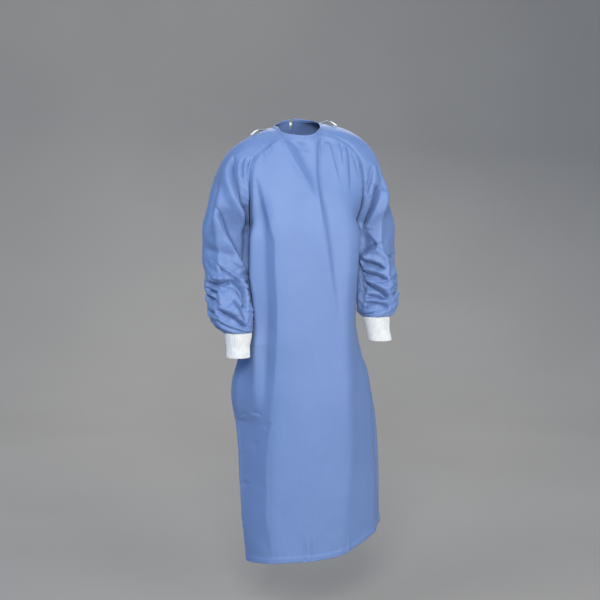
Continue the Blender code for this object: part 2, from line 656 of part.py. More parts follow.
def waist_path(name):
    rows = table(WAIST_COLUMNS, WAIST_ROWS[name])
    order = np.arange(len(rows["down"]))
    spots = []
    for step in np.linspace(0, order[-1], 2 * len(order) - 1):
        share, down, lift = (at_level(order, rows[name], step) for name in WAIST_COLUMNS.split())
        spots.append(back_spot(WAIST_LEVEL + down, share, lift + TIE_CLEAR + TAPE))
    return np.array([spot[0] for spot in spots]), np.array([spot[1] for spot in spots])


def waist_knot():
    middle, out = back_spot(WAIST_LEVEL, WAIST_KNOT, KNOT[1] + KNOT_CLEAR)
    return knot_mesh(middle, out)


def neck_knot():
    """The neck ties' knot, on the cloth just under the binding at the centre back."""
    line, _ = yoke_back_row("left", 0.05)
    above, _ = yoke_back_row("left", 0.03)
    out = np.cross(line[2] - line[0], line[0] - above[0])
    out *= np.sign(out[1]) / np.linalg.norm(out)
    return knot_mesh(line[0] + out * (KNOT[1] + KNOT_CLEAR), out)


def knot_mesh(middle, out, bands=8, around=12):
    """A tied tape's knot as a rounded block. Its length is level and its depth along out."""
    along = np.cross((0, 0, 1), out)
    along /= np.linalg.norm(along)
    axes = np.array((along, out, np.cross(along, out))) * np.array(KNOT)[:, None]
    grid = []
    b = np.linspace(0, 2 * np.pi, around + 1)
    for a in np.linspace(0, np.pi, bands + 1):
        spots = points_of(np.sin(a) * np.cos(b), np.sin(a) * np.sin(b), np.cos(a))
        grid.append(middle + (np.sign(spots) * np.abs(spots) ** 0.8) @ axes)
    grid = np.array(grid)
    index = grid_index(grid.shape, 0)
    index[0, :] = index[0, 0]
    index[-1, :] = index[-1, 0]
    faces = [list(dict.fromkeys(face)) for face in grid_faces(index).tolist()]
    used = sorted({p for face in faces for p in face})
    number = {p: k for k, p in enumerate(used)}
    return grid.reshape(-1, 3)[used], [[number[p] for p in face] for face in faces]


def material(name, colour, roughness):
    made = bpy.data.materials.new(name)
    made.use_nodes = True
    shader = made.node_tree.nodes["Principled BSDF"]
    shader.inputs["Base Color"].default_value = (*colour, 1)
    shader.inputs["Roughness"].default_value = roughness
    shader.inputs["Metallic"].default_value = 0
    return made


def add(name, points, faces, look, collection):
    mesh = bpy.data.meshes.new(name)
    mesh.from_pydata([tuple(p) for p in points], [], [tuple(f) for f in faces])
    mesh.update()
    made = bpy.data.objects.new(name, mesh)
    made.data.materials.append(look)
    made.data.polygons.foreach_set("use_smooth", [True] * len(mesh.polygons))
    collection.objects.link(made)
    return made


YOKE_LEVELS = [0.0, 0.07, 0.15, 0.24, 0.34, 0.45, 0.57, 0.69, 0.80, 0.88, 0.94, 1.0]
BODY_LEVELS = YOKE_LEVELS + list(np.linspace(1.0, 2.0, 20)[1:])
SLEEVE_LEVELS = YOKE_LEVELS + list(np.linspace(1.0, 2.0, 17)[1:])


def build():
    for old in list(bpy.data.objects):
        bpy.data.objects.remove(old, do_unlink=True)
    gown = bpy.data.collections.new("surgical_gown")
    bpy.context.scene.collection.children.link(gown)
    blue = material("gown_cloth", (0.25, 0.40, 0.72), 0.75)
    white = material("white_knit", (0.82, 0.83, 0.82), 0.9)
    tape = material("tie_tape", (0.80, 0.80, 0.78), 0.85)

    def sheet(name, grid, thickness, look, closed_from=None, flip=False):
        index = grid_index(grid.shape, closed_from)
        points, faces = compact(grid.reshape(-1, 3), grid_faces(index, flip))
        add(name, *solid(points, faces, thickness), look, gown)

    sheet("front", front_panel(BODY_LEVELS, np.linspace(0, 1, 33)), CLOTH, blue)
    for side in SIDES:
        turned = side == "right"
        sheet("back_" + side, back_panel(side, BODY_LEVELS, np.linspace(0, 1, 17)), CLOTH, blue, flip=turned)
        arm = sleeve_panel(side, SLEEVE_LEVELS, np.linspace(0, 1, 23))
        sheet("sleeve_" + side, arm, CLOTH, blue, closed_from=SLEEVE_LEVELS.index(1.0), flip=turned)
        cuff = cuff_grid(side, 6, np.linspace(0, 1, 21))
        sheet("cuff_" + side, cuff, KNIT, white, closed_from=0, flip=turned)
        points, outs = neck_tie_path(side)
        sheet("neck_tie_" + side, tape_grid(points, outs, NECK_TIE), TAPE, tape)
    sheet("neck_binding", binding_grid(3, np.linspace(0, 1, 57)), BINDING, blue)
    for name in WAIST_ROWS:
        points, outs = waist_path(name)
        sheet("waist_tie_" + name, tape_grid(points, outs, WAIST_TIE), TAPE, tape)
    add("neck_knot", *neck_knot(), tape, gown)
    add("waist_knot", *waist_knot(), tape, gown)


build()
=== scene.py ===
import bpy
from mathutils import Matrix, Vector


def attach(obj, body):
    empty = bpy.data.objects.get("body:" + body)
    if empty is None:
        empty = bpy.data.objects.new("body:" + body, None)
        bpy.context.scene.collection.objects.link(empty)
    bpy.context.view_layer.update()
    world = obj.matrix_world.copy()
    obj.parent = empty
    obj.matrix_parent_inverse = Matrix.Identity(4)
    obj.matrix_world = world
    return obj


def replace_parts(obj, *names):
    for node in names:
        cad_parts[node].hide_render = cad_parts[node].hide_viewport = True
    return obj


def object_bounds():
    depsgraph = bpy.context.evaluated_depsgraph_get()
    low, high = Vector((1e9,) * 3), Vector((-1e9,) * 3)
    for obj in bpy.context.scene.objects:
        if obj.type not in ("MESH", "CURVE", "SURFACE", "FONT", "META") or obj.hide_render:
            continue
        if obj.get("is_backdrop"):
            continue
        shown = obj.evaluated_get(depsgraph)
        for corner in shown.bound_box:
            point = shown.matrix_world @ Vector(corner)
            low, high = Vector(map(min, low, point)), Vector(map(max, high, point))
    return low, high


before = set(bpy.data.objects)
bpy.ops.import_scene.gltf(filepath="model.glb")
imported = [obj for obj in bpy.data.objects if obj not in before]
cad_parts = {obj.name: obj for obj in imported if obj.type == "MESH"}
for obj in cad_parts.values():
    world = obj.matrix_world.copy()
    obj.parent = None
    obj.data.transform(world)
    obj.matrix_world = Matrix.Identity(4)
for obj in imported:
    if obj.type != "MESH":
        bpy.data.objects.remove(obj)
"""The looks of a worn surgical gown: thin cloth panels with their creases, seams, turned hems and
stitches, ribbed cuffs, a bound neckline and woven tape ties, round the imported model.

Metres, +Z up. The wearer faces -Y and the wearer's left is +X. A level says how far down a row of
points lies: 0 at the neckline, 1 at the underarm, and 2 at the hem, or at the cuff seam on a sleeve.
"""
import math
from functools import partial

import bpy
import numpy as np
from mathutils import Vector

cad_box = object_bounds()

MM = 0.001
SIDES = {"left": 1, "right": -1}  # the wearer's
DENSE = 150  # points that half a row is worked out at before it is divided
UNDERARM = 1.0  # level
UP = np.array((0, 0, 1))

# Sizes of the garment's form, the same as the solids'.
SEAM_GAP = 0.0006
NECK_SHIFT = -0.008
NECK_LOW = 0.012
SHOULDER_TILT = 0.10
BINDING_LEAN = (20.0, 40.0)
CUFF_LENGTH = 0.070
CUFF_TAPER = 0.82
CUFF_LEAN = np.array((0.08, -0.36, -1.0))
LAP_RAMP = 0.05
HEM_RISE = {"front": 0.0, "left": 0.054, "right": -0.014, "back": 0.046}
RISE_FROM = 1.3
SLEEVE_END = {"left": -0.531, "right": -0.563}

YOKE_COLUMNS = (
    "level front_y front_z seam_x seam_f_y seam_f_z top_x top_z seam_b_y seam_b_z back_y back_z"
    " turn_body turn_sleeve pull_front pull_back pull_body pull_sleeve"
)
YOKE_ROWS = [
    (0, -0.078, -0.034, 0.054, -0.052, -0.02, 0.064, 0, 0.05,
     0.004, 0.07, 0.012, 48, 48, 0.06, 0.06, 0.06, 0.055),
    (0.12, -0.09, -0.06, 0.092, -0.061, -0.038, 0.098, -0.007, 0.063,
     -0.012, 0.084, -0.014, 36, 36, 0.11, 0.1, 0.09, 0.07),
    (0.25, -0.101, -0.092, 0.125, -0.069, -0.056, 0.146, -0.019, 0.075,
     -0.034, 0.098, -0.048, 28, 28, 0.15, 0.12, 0.12, 0.085),
    (0.4, -0.113, -0.13, 0.15, -0.078, -0.088, 0.193, -0.053, 0.087,
     -0.072, 0.11, -0.092, 22, 20, 0.2, 0.15, 0.14, 0.11),
    (0.6, -0.128, -0.18, 0.161, -0.088, -0.145, 0.229, -0.107, 0.096,
     -0.135, 0.12, -0.15, 22, 4, 0.27, 0.19, 0.16, 0.145),
    (0.8, -0.139, -0.232, 0.161, -0.082, -0.214, 0.257, -0.185, 0.084,
     -0.21, 0.125, -0.215, 40, -34, 0.36, 0.23, 0.19, 0.19),
    (0.91, -0.143, -0.259, 0.157, -0.052, -0.256, 0.268, -0.235, 0.053,
     -0.255, 0.126, -0.25, 64, -62, 0.46, 0.27, 0.24, 0.23),
]
BODY_COLUMNS = (
    "level z front_y back_y side_left left_y side_right right_y turn_left turn_right"
    " pull_front pull_back pull_left pull_right"
)
BODY_ROWS = [
    (1, -0.285, -0.146, 0.127, 0.148, 0, 0.148, 0, 90, 90, 0.56, 0.3, 0.3, 0.3),
    (1.08, -0.35, -0.149, 0.13, 0.142, 0, 0.142, 0, 90, 90, 0.58, 0.34, 0.3, 0.3),
    (1.2, -0.45, -0.15, 0.134, 0.14, 0.002, 0.14, 0.002, 90, 90, 0.56, 0.36, 0.3, 0.3),
    (1.31, -0.55, -0.149, 0.142, 0.147, 0.005, 0.145, 0.003, 90, 90, 0.5, 0.36, 0.31, 0.3),
    (1.41, -0.64, -0.147, 0.15, 0.174, 0.01, 0.172, 0.002, 86, 90, 0.46, 0.34, 0.32, 0.29),
    (1.51, -0.73, -0.145, 0.153, 0.206, 0.015, 0.2, 0, 80, 92, 0.42, 0.33, 0.33, 0.27),
    (1.64, -0.85, -0.14, 0.151, 0.224, 0.02, 0.185, -0.004, 74, 94, 0.4, 0.33, 0.32, 0.24),
    (1.78, -0.985, -0.132, 0.148, 0.235, 0.022, 0.179, -0.008, 70, 96, 0.4, 0.33, 0.32, 0.21),
    (1.91, -1.112, -0.124, 0.146, 0.241, 0.024, 0.174, -0.012, 68, 98, 0.42, 0.33, 0.31, 0.18),
    (2, -1.222, -0.119, 0.144, 0.245, 0.026, 0.163, -0.016, 66, 99, 0.43, 0.33, 0.3, 0.15),
]
SLEEVE_COLUMNS = "level drop middle_x middle_y half_width half_depth"
SLEEVE_ROWS = [
    (1, 0, 0.2135, 0, 0.0655, 0.067),
    (1.15, 0.15, 0.2145, -0.004, 0.0665, 0.067),
    (1.3, 0.3, 0.2155, -0.0095, 0.067, 0.067),
    (1.45, 0.45, 0.2145, -0.019, 0.0635, 0.066),
    (1.6, 0.6, 0.217, -0.033, 0.0655, 0.068),
    (1.75, 0.75, 0.216, -0.05, 0.065, 0.068),
    (1.86, 0.88, 0.2135, -0.064, 0.063, 0.066),
    (1.94, 0.975, 0.2075, -0.0755, 0.055, 0.057),
    (2, 1, 0.199, -0.083, 0.039, 0.041),
]
LAP_COLUMNS = "level lap part flare"
LAP_ROWS = [
    (0, -0.005, 0, 0),
    (0.12, -0.002, 0.002, 0),
    (0.25, 0.014, 0.0024, 0),
    (0.6, 0.04, 0.0024, 0),
    (1, 0.07, 0.0024, 0.001),
    (1.31, 0.085, 0.0024, 0.003),
    (1.6, 0.098, 0.0026, 0.01),
    (2, 0.11, 0.003, 0.022),
]

# Creases in the cloth, in millimetres, each along a curve through three places. On the body, across is
# the distance from the middle towards the wearer's left and z the height. On a sleeve, across is the
# distance round the arm from its outer line, positive towards the front. Wide is the half width, deep a
# trough's depth (a ridge's height where negative) and step how far the cloth on the curve's right,
# looking along it, stands out and that on its left lies back. Crisp is 0 for a soft trough and 1 for a
# sharp one. Fade is the share of the curve that it takes to come to its full depth, at the start and the
# end. Slit is the depth of the narrow fold at its bottom.
CREASE_COLUMNS = "across z mid_across mid_z end_across end_z wide deep step crisp fade fade_end slit"
FRONT_CREASES = [
    (-54, -24, -18, -112, 26, -230, 26, 1, 15, 0, 0.08, 0.5, 0),
    (-70, -36, -41, -100, 0, -172, 4.5, -1.2, 0, 0.6, 0.15, 0.3, 0),
    (36, -24, 27, -120, 29, -230, 15, 2, 7.5, 0.1, 0.08, 0.3, 1.2),
    (26, -170, 44, -310, 80, -580, 15, 1.8, 7, 0.1, 0.25, 0.5, 0.8),
    (16, -110, 18, -200, 32, -330, 6, -2.6, 0, 0.3, 0.3, 0.5, 0),
    (-30, -40, -12, -60, 10, -72, 3.8, 1.8, 0.6, 0.8, 0.4, 0.4, 0),
    (-18, -38, 6, -37, 34, -28, 4, 1.8, 0, 0.6, 0.3, 0.3, 1.5),
    (66, -36, 74, -80, 85, -155, 6, 3, 2.8, 0.6, 0.2, 0.35, 1),
    (92, -42, 97, -70, 94, -118, 5, 2.2, 1.8, 0.6, 0.3, 0.4, 2),
    (112, -56, 116, -100, 112, -210, 8, 2.6, 3.4, 0.4, 0.2, 0.45, 0),
    (126, -66, 140, -92, 148, -150, 7, 4, 0, 0.3, 0.25, 0.35, 0),
    (44, -28, 58, -36, 78, -52, 6, 3, 0, 0.5, 0.3, 0.4, 0),
    (40, -20, 44, -50, 46, -96, 5, 2.2, 0, 0.5, 0.2, 0.5, 0),
    (104, -240, 101, -600, 122, -1100, 26, -3, 0, 0, 0.3, 0.25, 0),
    (-112, -50, -90, -47, -62, -38, 6, 0, 3, 0.4, 0.3, 0.3, 0),
    (-128, -62, -126, -75, -122, -95, 4, 1.8, 1, 0.6, 0.35, 0.35, 0),
    (-118, -56, -115, -66, -110, -84, 4, 1.8, 0.8, 0.6, 0.35, 0.35, 0),
    (-134, -70, -131, -84, -126, -104, 3.5, 1.6, 0.6, 0.6, 0.35, 0.35, 0),
    (-108, -50, -105, -60, -100, -74, 3.5, 1.4, 0.6, 0.6, 0.35, 0.35, 0),
    (-164, -800, -150, -797, -134, -803, 4.5, 2.4, 1.2, 0.9, 0.35, 0.35, 0),
    (-186, -818, -178, -806, -168, -802, 5, 2.4, 1, 0.8, 0.35, 0.35, 0),
    (-126, -842, -120, -830, -112, -812, 5, 1.8, 1, 0.8, 0.35, 0.35, 0),
    (-152, -902, -147, -888, -139, -872, 6, 1.6, 0.8, 0.6, 0.35, 0.35, 0),
    (-174, -1020, -166, -1010, -158, -1000, 6, 1.6, 0.8, 0.6, 0.35, 0.35, 0),
    (-19, -1135, -19, -1180, -19, -1222, 4, 3.4, 1, 0.7, 0.6, 0.01, 0),
    (-2, -1140, 0, -1180, 4, -1222, 4, 2.4, 1.2, 0.7, 0.6, 0.01, 0),
    (118, -1150, 117, -1180, 114, -1215, 5, -2, 0, 0.5, 0.5, 0.05, 0),
]
BACK_CREASES = [
    (-30, -30, -44, -150, -60, -400, 11, 5, -4, 0.3, 0.15, 0.45, 0),
    (-16, -34, -22, -100, -34, -210, 6, 3, -2, 0.5, 0.15, 0.5, 0),
    (46, -30, 66, -220, 78, -520, 12, 5.5, 4, 0.3, 0.15, 0.45, 0),
    (24, -34, 34, -90, 46, -190, 6, 3, 2, 0.5, 0.15, 0.5, 0),
    (70, -34, 92, -100, 118, -205, 7, 3, 2, 0.4, 0.2, 0.4, 0),
    (-58, -34, -84, -100, -112, -190, 7, 3, -2, 0.4, 0.2, 0.4, 0),
    (104, -150, 112, -600, 104, -1200, 20, 8, 4, 0.1, 0.2, 0.05, 0),
    (-90, -130, -96, -260, -100, -400, 13, 6, -3, 0.3, 0.25, 0.4, 0),
    (-112, -520, -124, -850, -122, -1200, 18, 8, -3, 0.1, 0.25, 0.05, 0),
    (150, -560, 166, -850, 170, -1180, 18, -6, 0, 0, 0.3, 0.1, 0),
    (-20, -620, -14, -900, -10, -1190, 18, 6, 4, 0.2, 0.3, 0.05, 0),
    (50, -700, 58, -950, 54, -1200, 14, 5, -4, 0.2, 0.35, 0.05, 0),
    (-70, -780, -72, -1000, -64, -1200, 11, 4, 3, 0.3, 0.4, 0.05, 0),
    (-30, -452, -52, -470, -74, -520, 6, 3, 2, 0.6, 0.2, 0.5, 0),
    (-30, -430, -56, -410, -82, -360, 6, 2.6, -2, 0.6, 0.2, 0.5, 0),
    (-122, -450, -104, -462, -84, -490, 6, 2.4, 1, 0.6, 0.2, 0.5, 0),
]
SLEEVE_RIGHT_CREASES = [
    (36, -76, 112, -186, 188, -288, 8, 6, 5, 0.7, 0.15, 0.08, 6),
    (66, -80, 90, -116, 113, -152, 4, 2.4, 1, 0.7, 0.25, 0.35, 2),
    (81, -82, 108, -124, 136, -165, 4, 2.4, 1, 0.7, 0.25, 0.35, 2),
    (56, -216, 110, -310, 163, -402, 9, 4, 7, 0.85, 0.2, 0.08, 7),
    (46, -150, 61, -240, 74, -330, 18, -4, 0, 0, 0.3, 0.3, 0),
    (150, -200, 164, -300, 166, -410, 14, 9, 0, 0, 0.25, 0.25, 4),
    (10, -338, 76, -342, 130, -358, 15, 4.5, -2, 0.2, 0.25, 0.25, 0),
    (58, -375, 98, -402, 146, -436, 4.5, 3.4, -1.5, 0.9, 0.25, 0.2, 3),
    (6, -431, 60, -426, 114, -418, 7, 7.5, -5, 0.8, 0.2, 0.2, 6),
    (100, -416, 136, -440, 151, -492, 7, 8.5, -4, 0.8, 0.2, 0.2, 6),
    (64, -452, 40, -449, 0, -442, 5.5, 6.5, 2, 0.8, 0.25, 0.3, 4),
    (52, -471, 22, -467, -16, -461, 5, 5, 2, 0.8, 0.25, 0.35, 3),
    (119, -440, 136, -470, 146, -505, 6, 7.5, 0, 0.8, 0.2, 0.25, 5),
    (104, -468, 121, -500, 132, -534, 6, 7.5, 2, 0.8, 0.25, 0.2, 4),
    (152, -468, 134, -486, 114, -512, 4.5, 4.5, 1, 0.9, 0.25, 0.3, 3),
    (46, -500, 94, -512, 125, -549, 7, 7.5, -5, 0.8, 0.2, 0.1, 6),
    (-18, -505, 18, -512, 44, -503, 7.5, 6, 2, 0.5, 0.3, 0.3, 3),
    (62, -446, 54, -475, 50, -503, 9, 3.5, -2, 0.2, 0.3, 0.3, 0),
    (20, -140, 34, -210, 30, -290, 12, 3, 2, 0.2, 0.3, 0.4, 0),
    (-60, -170, -108, -260, -160, -330, 9, 6, -5, 0.7, 0.25, 0.15, 5),
    (-20, -250, -76, -320, -140, -352, 7, 5, 4, 0.8, 0.3, 0.2, 4),
    (-30, -385, -88, -392, -156, -366, 6.5, 8, 4, 0.8, 0.25, 0.2, 5),
    (-60, -410, -100, -422, -144, -412, 5.5, 6.5, 3, 0.8, 0.25, 0.25, 4),
    (-40, -474, -92, -462, -150, -440, 6.5, 8, -4, 0.8, 0.25, 0.2, 5),
    (-70, -500, -104, -510, -136, -496, 5.5, 6.5, 2, 0.8, 0.3, 0.3, 4),
]
SLEEVE_LEFT_CREASES = [
    (48, -62, 68, -135, 98, -184, 6, 4, 0, 0.5, 0.2, 0.25, 0),
    (94, -166, 122, -212, 158, -288, 8, 9, 6, 0.8, 0.15, 0.08, 7),
    (82, -106, 118, -152, 152, -202, 7, 3.6, 3.4, 0.7, 0.25, 0.2, 3),
    (66, -140, 94, -196, 126, -262, 8, 2, 2, 0.4, 0.3, 0.3, 0),
    (150, -282, 157, -330, 160, -366, 18, 10, 0, 0, 0.35, 0.25, 0),
    (166, -357, 140, -344, 111, -329, 8, 4, -5, 0.7, 0.12, 0.2, 5),
    (116, -334, 100, -352, 74, -386, 10, -3, -3, 0.3, 0.2, 0.35, 0),
    (166, -379, 128, -384, 90, -400, 5.8, 7.5, 4, 0.9, 0.12, 0.25, 6),
    (170, -409, 128, -412, 88, -431, 5.8, 8, 4, 0.9, 0.12, 0.25, 6),
    (170, -434, 128, -450, 86, -478, 6.2, 9, 5, 0.9, 0.12, 0.2, 7),
    (166, -474, 130, -470, 94, -481, 5.8, 7.5, 3, 0.9, 0.15, 0.25, 6),
    (172, -497, 130, -490, 78, -506, 5.8, 6.5, 3, 0.8, 0.15, 0.25, 6),
    (172, -375, 178, -430, 177, -505, 10, 8, 0, 0.2, 0.25, 0.25, 6),
    (80, -340, 87, -420, 89, -498, 11, -3.5, 0, 0.3, 0.3, 0.3, 0),
    (30, -140, 60, -200, 66, -300, 13, 3.5, -2, 0.2, 0.3, 0.4, 0),
    (0, -365, 34, -372, 66, -362, 6.5, 6, 2, 0.7, 0.35, 0.35, 4),
    (-6, -410, 30, -418, 64, -428, 6, 6, -3, 0.8, 0.35, 0.35, 4),
    (4, -470, 36, -462, 70, -474, 5.5, 6, 3, 0.8, 0.35, 0.35, 4),
    (-60, -170, -104, -262, -160, -330, 9, 6, -5, 0.7, 0.25, 0.15, 5),
    (-26, -262, -80, -318, -150, -346, 7, 5, 4, 0.8, 0.3, 0.2, 4),
    (-30, -392, -90, -384, -150, -368, 6.5, 8, -4, 0.8, 0.25, 0.2, 5),
    (-50, -424, -100, -418, -148, -404, 5.5, 6.5, -3, 0.8, 0.25, 0.25, 4),
    (-40, -468, -96, -460, -150, -438, 6.5, 8, -4, 0.8, 0.25, 0.2, 5),
]
CREASE_STEPS = 32
CREASE_REACH = 4.5  # half widths to where a crease is level with the cloth
SLIT_WIDTH = 0.0038
LATTICE = 97  # random values each way before they repeat
LATTICE_START = 1000.0  # keeps places on the lattice above zero

# Where hanging cloth turns corners, in millimetres. At each height it runs straight from corner to
# corner. The corners' places are distances along the cloth: on the front from its centre line, on a
# sleeve from its outer line to the front. The second is sunk in and the third lifted out by the lengths
# beside them. Share is how far the cloth is drawn to this shape.
CORNERS_AT = 0.11  # from the centre line, where a row's height is taken
WANDER = 0.004  # of the first two corners, to each side
CORNER_SEED = 301
CORNER_COLUMNS = "z first second sink third lift last share"
RIGHT_PLEAT = [
    (-140, 150, 160, 4, 166, 0, 172, 0),
    (-200, 136, 154, 10, 168, 5, 178, 0.8),
    (-250, 126, 151, 13, 170, 13, 198, 0.9),
    (-310, 111, 147, 16, 171, 21, 214, 0.9),
    (-360, 106, 144, 17, 172, 24, 218, 0.9),
    (-410, 102, 142, 17, 173, 26, 220, 0.9),
    (-470, 100, 140, 17, 171, 18, 220, 0.9),
    (-560, 100, 140, 17, 169, 10, 222, 0.9),
    (-640, 103, 141, 15, 168, 10, 225, 0.9),
    (-720, 111, 142, 11, 170, 5, 225, 0.8),
    (-830, 112, 145, 4, 172, 0, 225, 0),
]
RIGHT_SIDE = [
    (-600, 108, 109, 0, 245, 0, 300, 0),
    (-700, 109, 110, 0, 250, 0, 300, 0.65),
    (-800, 112, 113, 0, 255, 0, 300, 0.9),
    (-890, 118, 119, 0, 300, 0, 310, 0.92),
    (-985, 127, 128, 0, 300, 0, 310, 0.92),
    (-1070, 120, 121, 0, 300, 0, 310, 0.92),
    (-1160, 106, 107, 0, 300, 0, 310, 0.75),
    (-1260, 96, 97, 0, 300, 0, 310, 0.55),
]
LEFT_SIDE = [
    (-300, 92, 93, 0, 180, 0, 230, 0),
    (-480, 94, 95, 0, 180, 2, 230, 0.6),
    (-640, 101, 102, 0, 205, 4, 262, 0.75),
    (-790, 112, 113, 0, 234, 5, 284, 0.85),
    (-900, 119, 120, 0, 240, 6, 290, 0.85),
    (-1010, 116, 117, 0, 242, 6, 292, 0.85),
    (-1130, 102, 103, 0, 244, 6, 296, 0.7),
    (-1260, 94, 95, 0, 246, 6, 296, 0.5),
]
SLEEVE_RIGHT_SIDES = [
    (-120, 0, 45, -2, 90, 0, 110, 0),
    (-190, 0, 54, -4, 120, 0, 150, 0.7),
    (-290, 2, 70, -5, 160, 0, 185, 0.8),
    (-390, 2, 72, -4, 160, 0, 185, 0.7),
    (-480, 2, 66, -3, 150, 0, 175, 0.4),
    (-550, 2, 60, 0, 120, 0, 140, 0),
]
SLEEVE_LEFT_SIDES = [
    (-120, 0, 60, -4, 100, 0, 120, 0),
    (-190, 0, 78, -8, 130, 0, 150, 0.8),
    (-240, 0, 98, -11, 150, 0, 170, 0.9),
    (-310, 0, 104, -12, 165, 0, 185, 0.9),
    (-390, 0, 90, -10, 160, 0, 182, 0.8),
    (-460, 0, 85, -7, 150, 0, 172, 0.5),
    (-520, 0, 70, -2, 120, 0, 140, 0),
]

# How the panels' sewn edges and hems are made, and how fine the panels are.
SEAM_REACH = 0.016  # how far from a seam the creases come to their full depth
SEAM_ROLL = 0.0016  # how far the cloth turns in at a seam
SEAM_SOFT = 0.0022  # over this width
PUCKER = 0.0007  # height of the ripples beside a seam
PUCKER_REACH = 0.016
SEAM_STITCH = 0.0045  # from a seam to the stitches beside it
HEM_WIDTH = 0.009
HEM_ROWS = (0.0092, 0.0080, 0.0068, 0.0050, 0.0030, 0.0014, 0.0)  # levels above the hem
HEM_THICK = 0.0012
HEM_PROUD = 0.0012
HEM_RIPPLE = 0.0008
FREE_HEM = 0.014  # the turned free edge of a back panel
FREE_PROUD = 0.0004
SIDE_FOLD = 0.0080  # the narrow fold beside a side seam, how far the seam lies back, and the fold's place
SIDE_SINK = 0.0040
SIDE_FOLD_AT = 0.016
SIDE_STAND = {"left": 1.0, "right": 0.2}  # how much of both a side has
BROAD = 0.0016  # heights of the cloth's broad and fine unevenness
FINE = 0.00030

EDGE_STEPS = (0.0, 0.0009, 0.0020, 0.0036, 0.0058)  # the fine steps of a row beside a seam
TOP_STEPS = (0, 0.004, 0.010, 0.018)  # the first levels
# Rows in the yoke and below it, columns, a row's rough length and how often the rows are smoothed.
FINENESS = {
    "front": (96, 300, 222, 0.50, 60),
    "back": (84, 280, 104, 0.30, 60),
    "sleeve": (116, 216, 276, 0.34, 160),
}
# Flat facets: their sizes across and down, seed and depth.
FRONT_BROAD = (0.120, 0.260, 43, 0.0025)
FRONT_FINE = (0.045, 0.190, 47, 0.0009)
SLEEVE_BROAD = (0.060, 0.070, 21, 0.0036)
SLEEVE_FINE = (0.027, 0.022, 22, 0.0034)
# Puffs: their sizes across and down, slant, seed and depth.
SLEEVE_PUFFS = (0.050, 0.020, 0.25, 23, 0.0046)
SLEEVE_DRAPES = (0.036, 0.030, -0.60, 26, 0.0022)
SLEEVE_CREASES_DEEP = 1.5  # times the depths in the tables
BACK_SEEDS = {"left": 51, "right": 71}
SLEEVE_SEEDS = {"left": 91, "right": 111}
# The seeds of an armhole's front and back seam. The cloth sinks in less at the back.
ARMHOLE_SEEDS = {"left": (403, 405), "right": (401, 407)}
ARMHOLE_BACK = -0.6
# Half the width over which cloth turns the first corner, and half that for the others.
SLEEVE_TURNS = (0.010, 0.006)
# The front's tables of corners, with the side of each (1 is the wearer's left) and its two half widths.
FRONT_SHAPES = (
    (RIGHT_SIDE, -1, 0.022, 0.010),
    (RIGHT_PLEAT, -1, 0.003, 0.007),
    (LEFT_SIDE, 1, 0.012, 0.012),
)
# The depth of an armhole seam's groove at each level, and about its half width.
GROOVE_COLUMNS = "level deep"
GROOVE_ROWS = [
    (0, 0), (0.10, 0.0006), (0.20, 0.0022), (0.40, 0.0060),
    (0.55, 0.0080), (0.82, 0.0080), (0.93, 0), (2, 0),
]
GROOVE_SOFT = 0.0050

# The knit cuffs.
RIBS = 46
RIB_HEIGHT = 0.00055
CUFF_UNEVEN = 0.0007
CUFF_RINGS = 46
CUFF_SIZE = 0.97  # of the sleeve's end, where the cuff starts
CUFF_TURN = (0.0006, 0.0014, 0.0018)  # how far in the folded lower edge turns

# The neck binding's section: how far each corner is out of the cloth and up the binding.
BINDING_PROFILE = [
    (0, -0.0016), (0.0008, -0.0014), (0.001, -0.0004), (0.0009, 0.002), (0.0009, 0.005),
    (0.0008, 0.007), (0.0003, 0.0079), (-0.0004, 0.0079), (-0.0009, 0.007), (-0.001, 0.005),
    (-0.001, 0.002), (-0.001, -0.0004), (-0.0008, -0.0014),
]
BINDING_RIPPLE = 0.00025

# The tape ties and their knots.
TAPE = 0.0012  # how thick the solids' tape is, and the tape here
TAPE_THICK = 0.0008
NECK_TIE = 0.009
WAIST_TIE = 0.012
TIE_CLEAR = 0.0007
TIE_STEPS = 6  # between two rows of a tie's table
KNOT = (0.009, 0.0052, 0.0072)  # half its width, depth and height
KNOT_CLEAR = 0.0007
KNOT_SHARE = 0.93  # of the solid's size
KNOT_THICK = 0.0009
# A knot's bands: their tilt in radians, shift and scale as shares of the knot, and half width.
KNOT_BANDS = [(-0.55, 0.0, 0.80, 0.0036), (0.45, 0.12, 0.92, 0.0034), (1.35, -0.06, 0.86, 0.0034)]
NECK_KNOT_LEVEL = 0.05
WAIST_LEVEL = 1.17
WAIST_KNOT = 0.375

# A neck tie's path over a shoulder, from the knot at the centre back: the level, the share of the row
# from the centre back round to the shoulder's top, and how far it stands off the cloth.
NECK_TIE_COLUMNS = "level share lift"
NECK_TIE_ROWS = {
    "left": [
        (0.052, 0, 0.0045), (0.062, 0.28, 0.0006), (0.066, 0.52, 0.001), (0.078, 0.68, 0.006),
        (0.1, 0.82, 0.01), (0.128, 0.95, 0.008), (0.15, 1.06, 0.001),
    ],
    "right": [
        (0.052, 0, 0.0045), (0.062, 0.28, 0.0006), (0.074, 0.54, 0.0012), (0.098, 0.74, 0.004),
        (0.13, 0.88, 0.007), (0.17, 0.97, 0.007), (0.215, 1.02, 0.001),
    ],
}
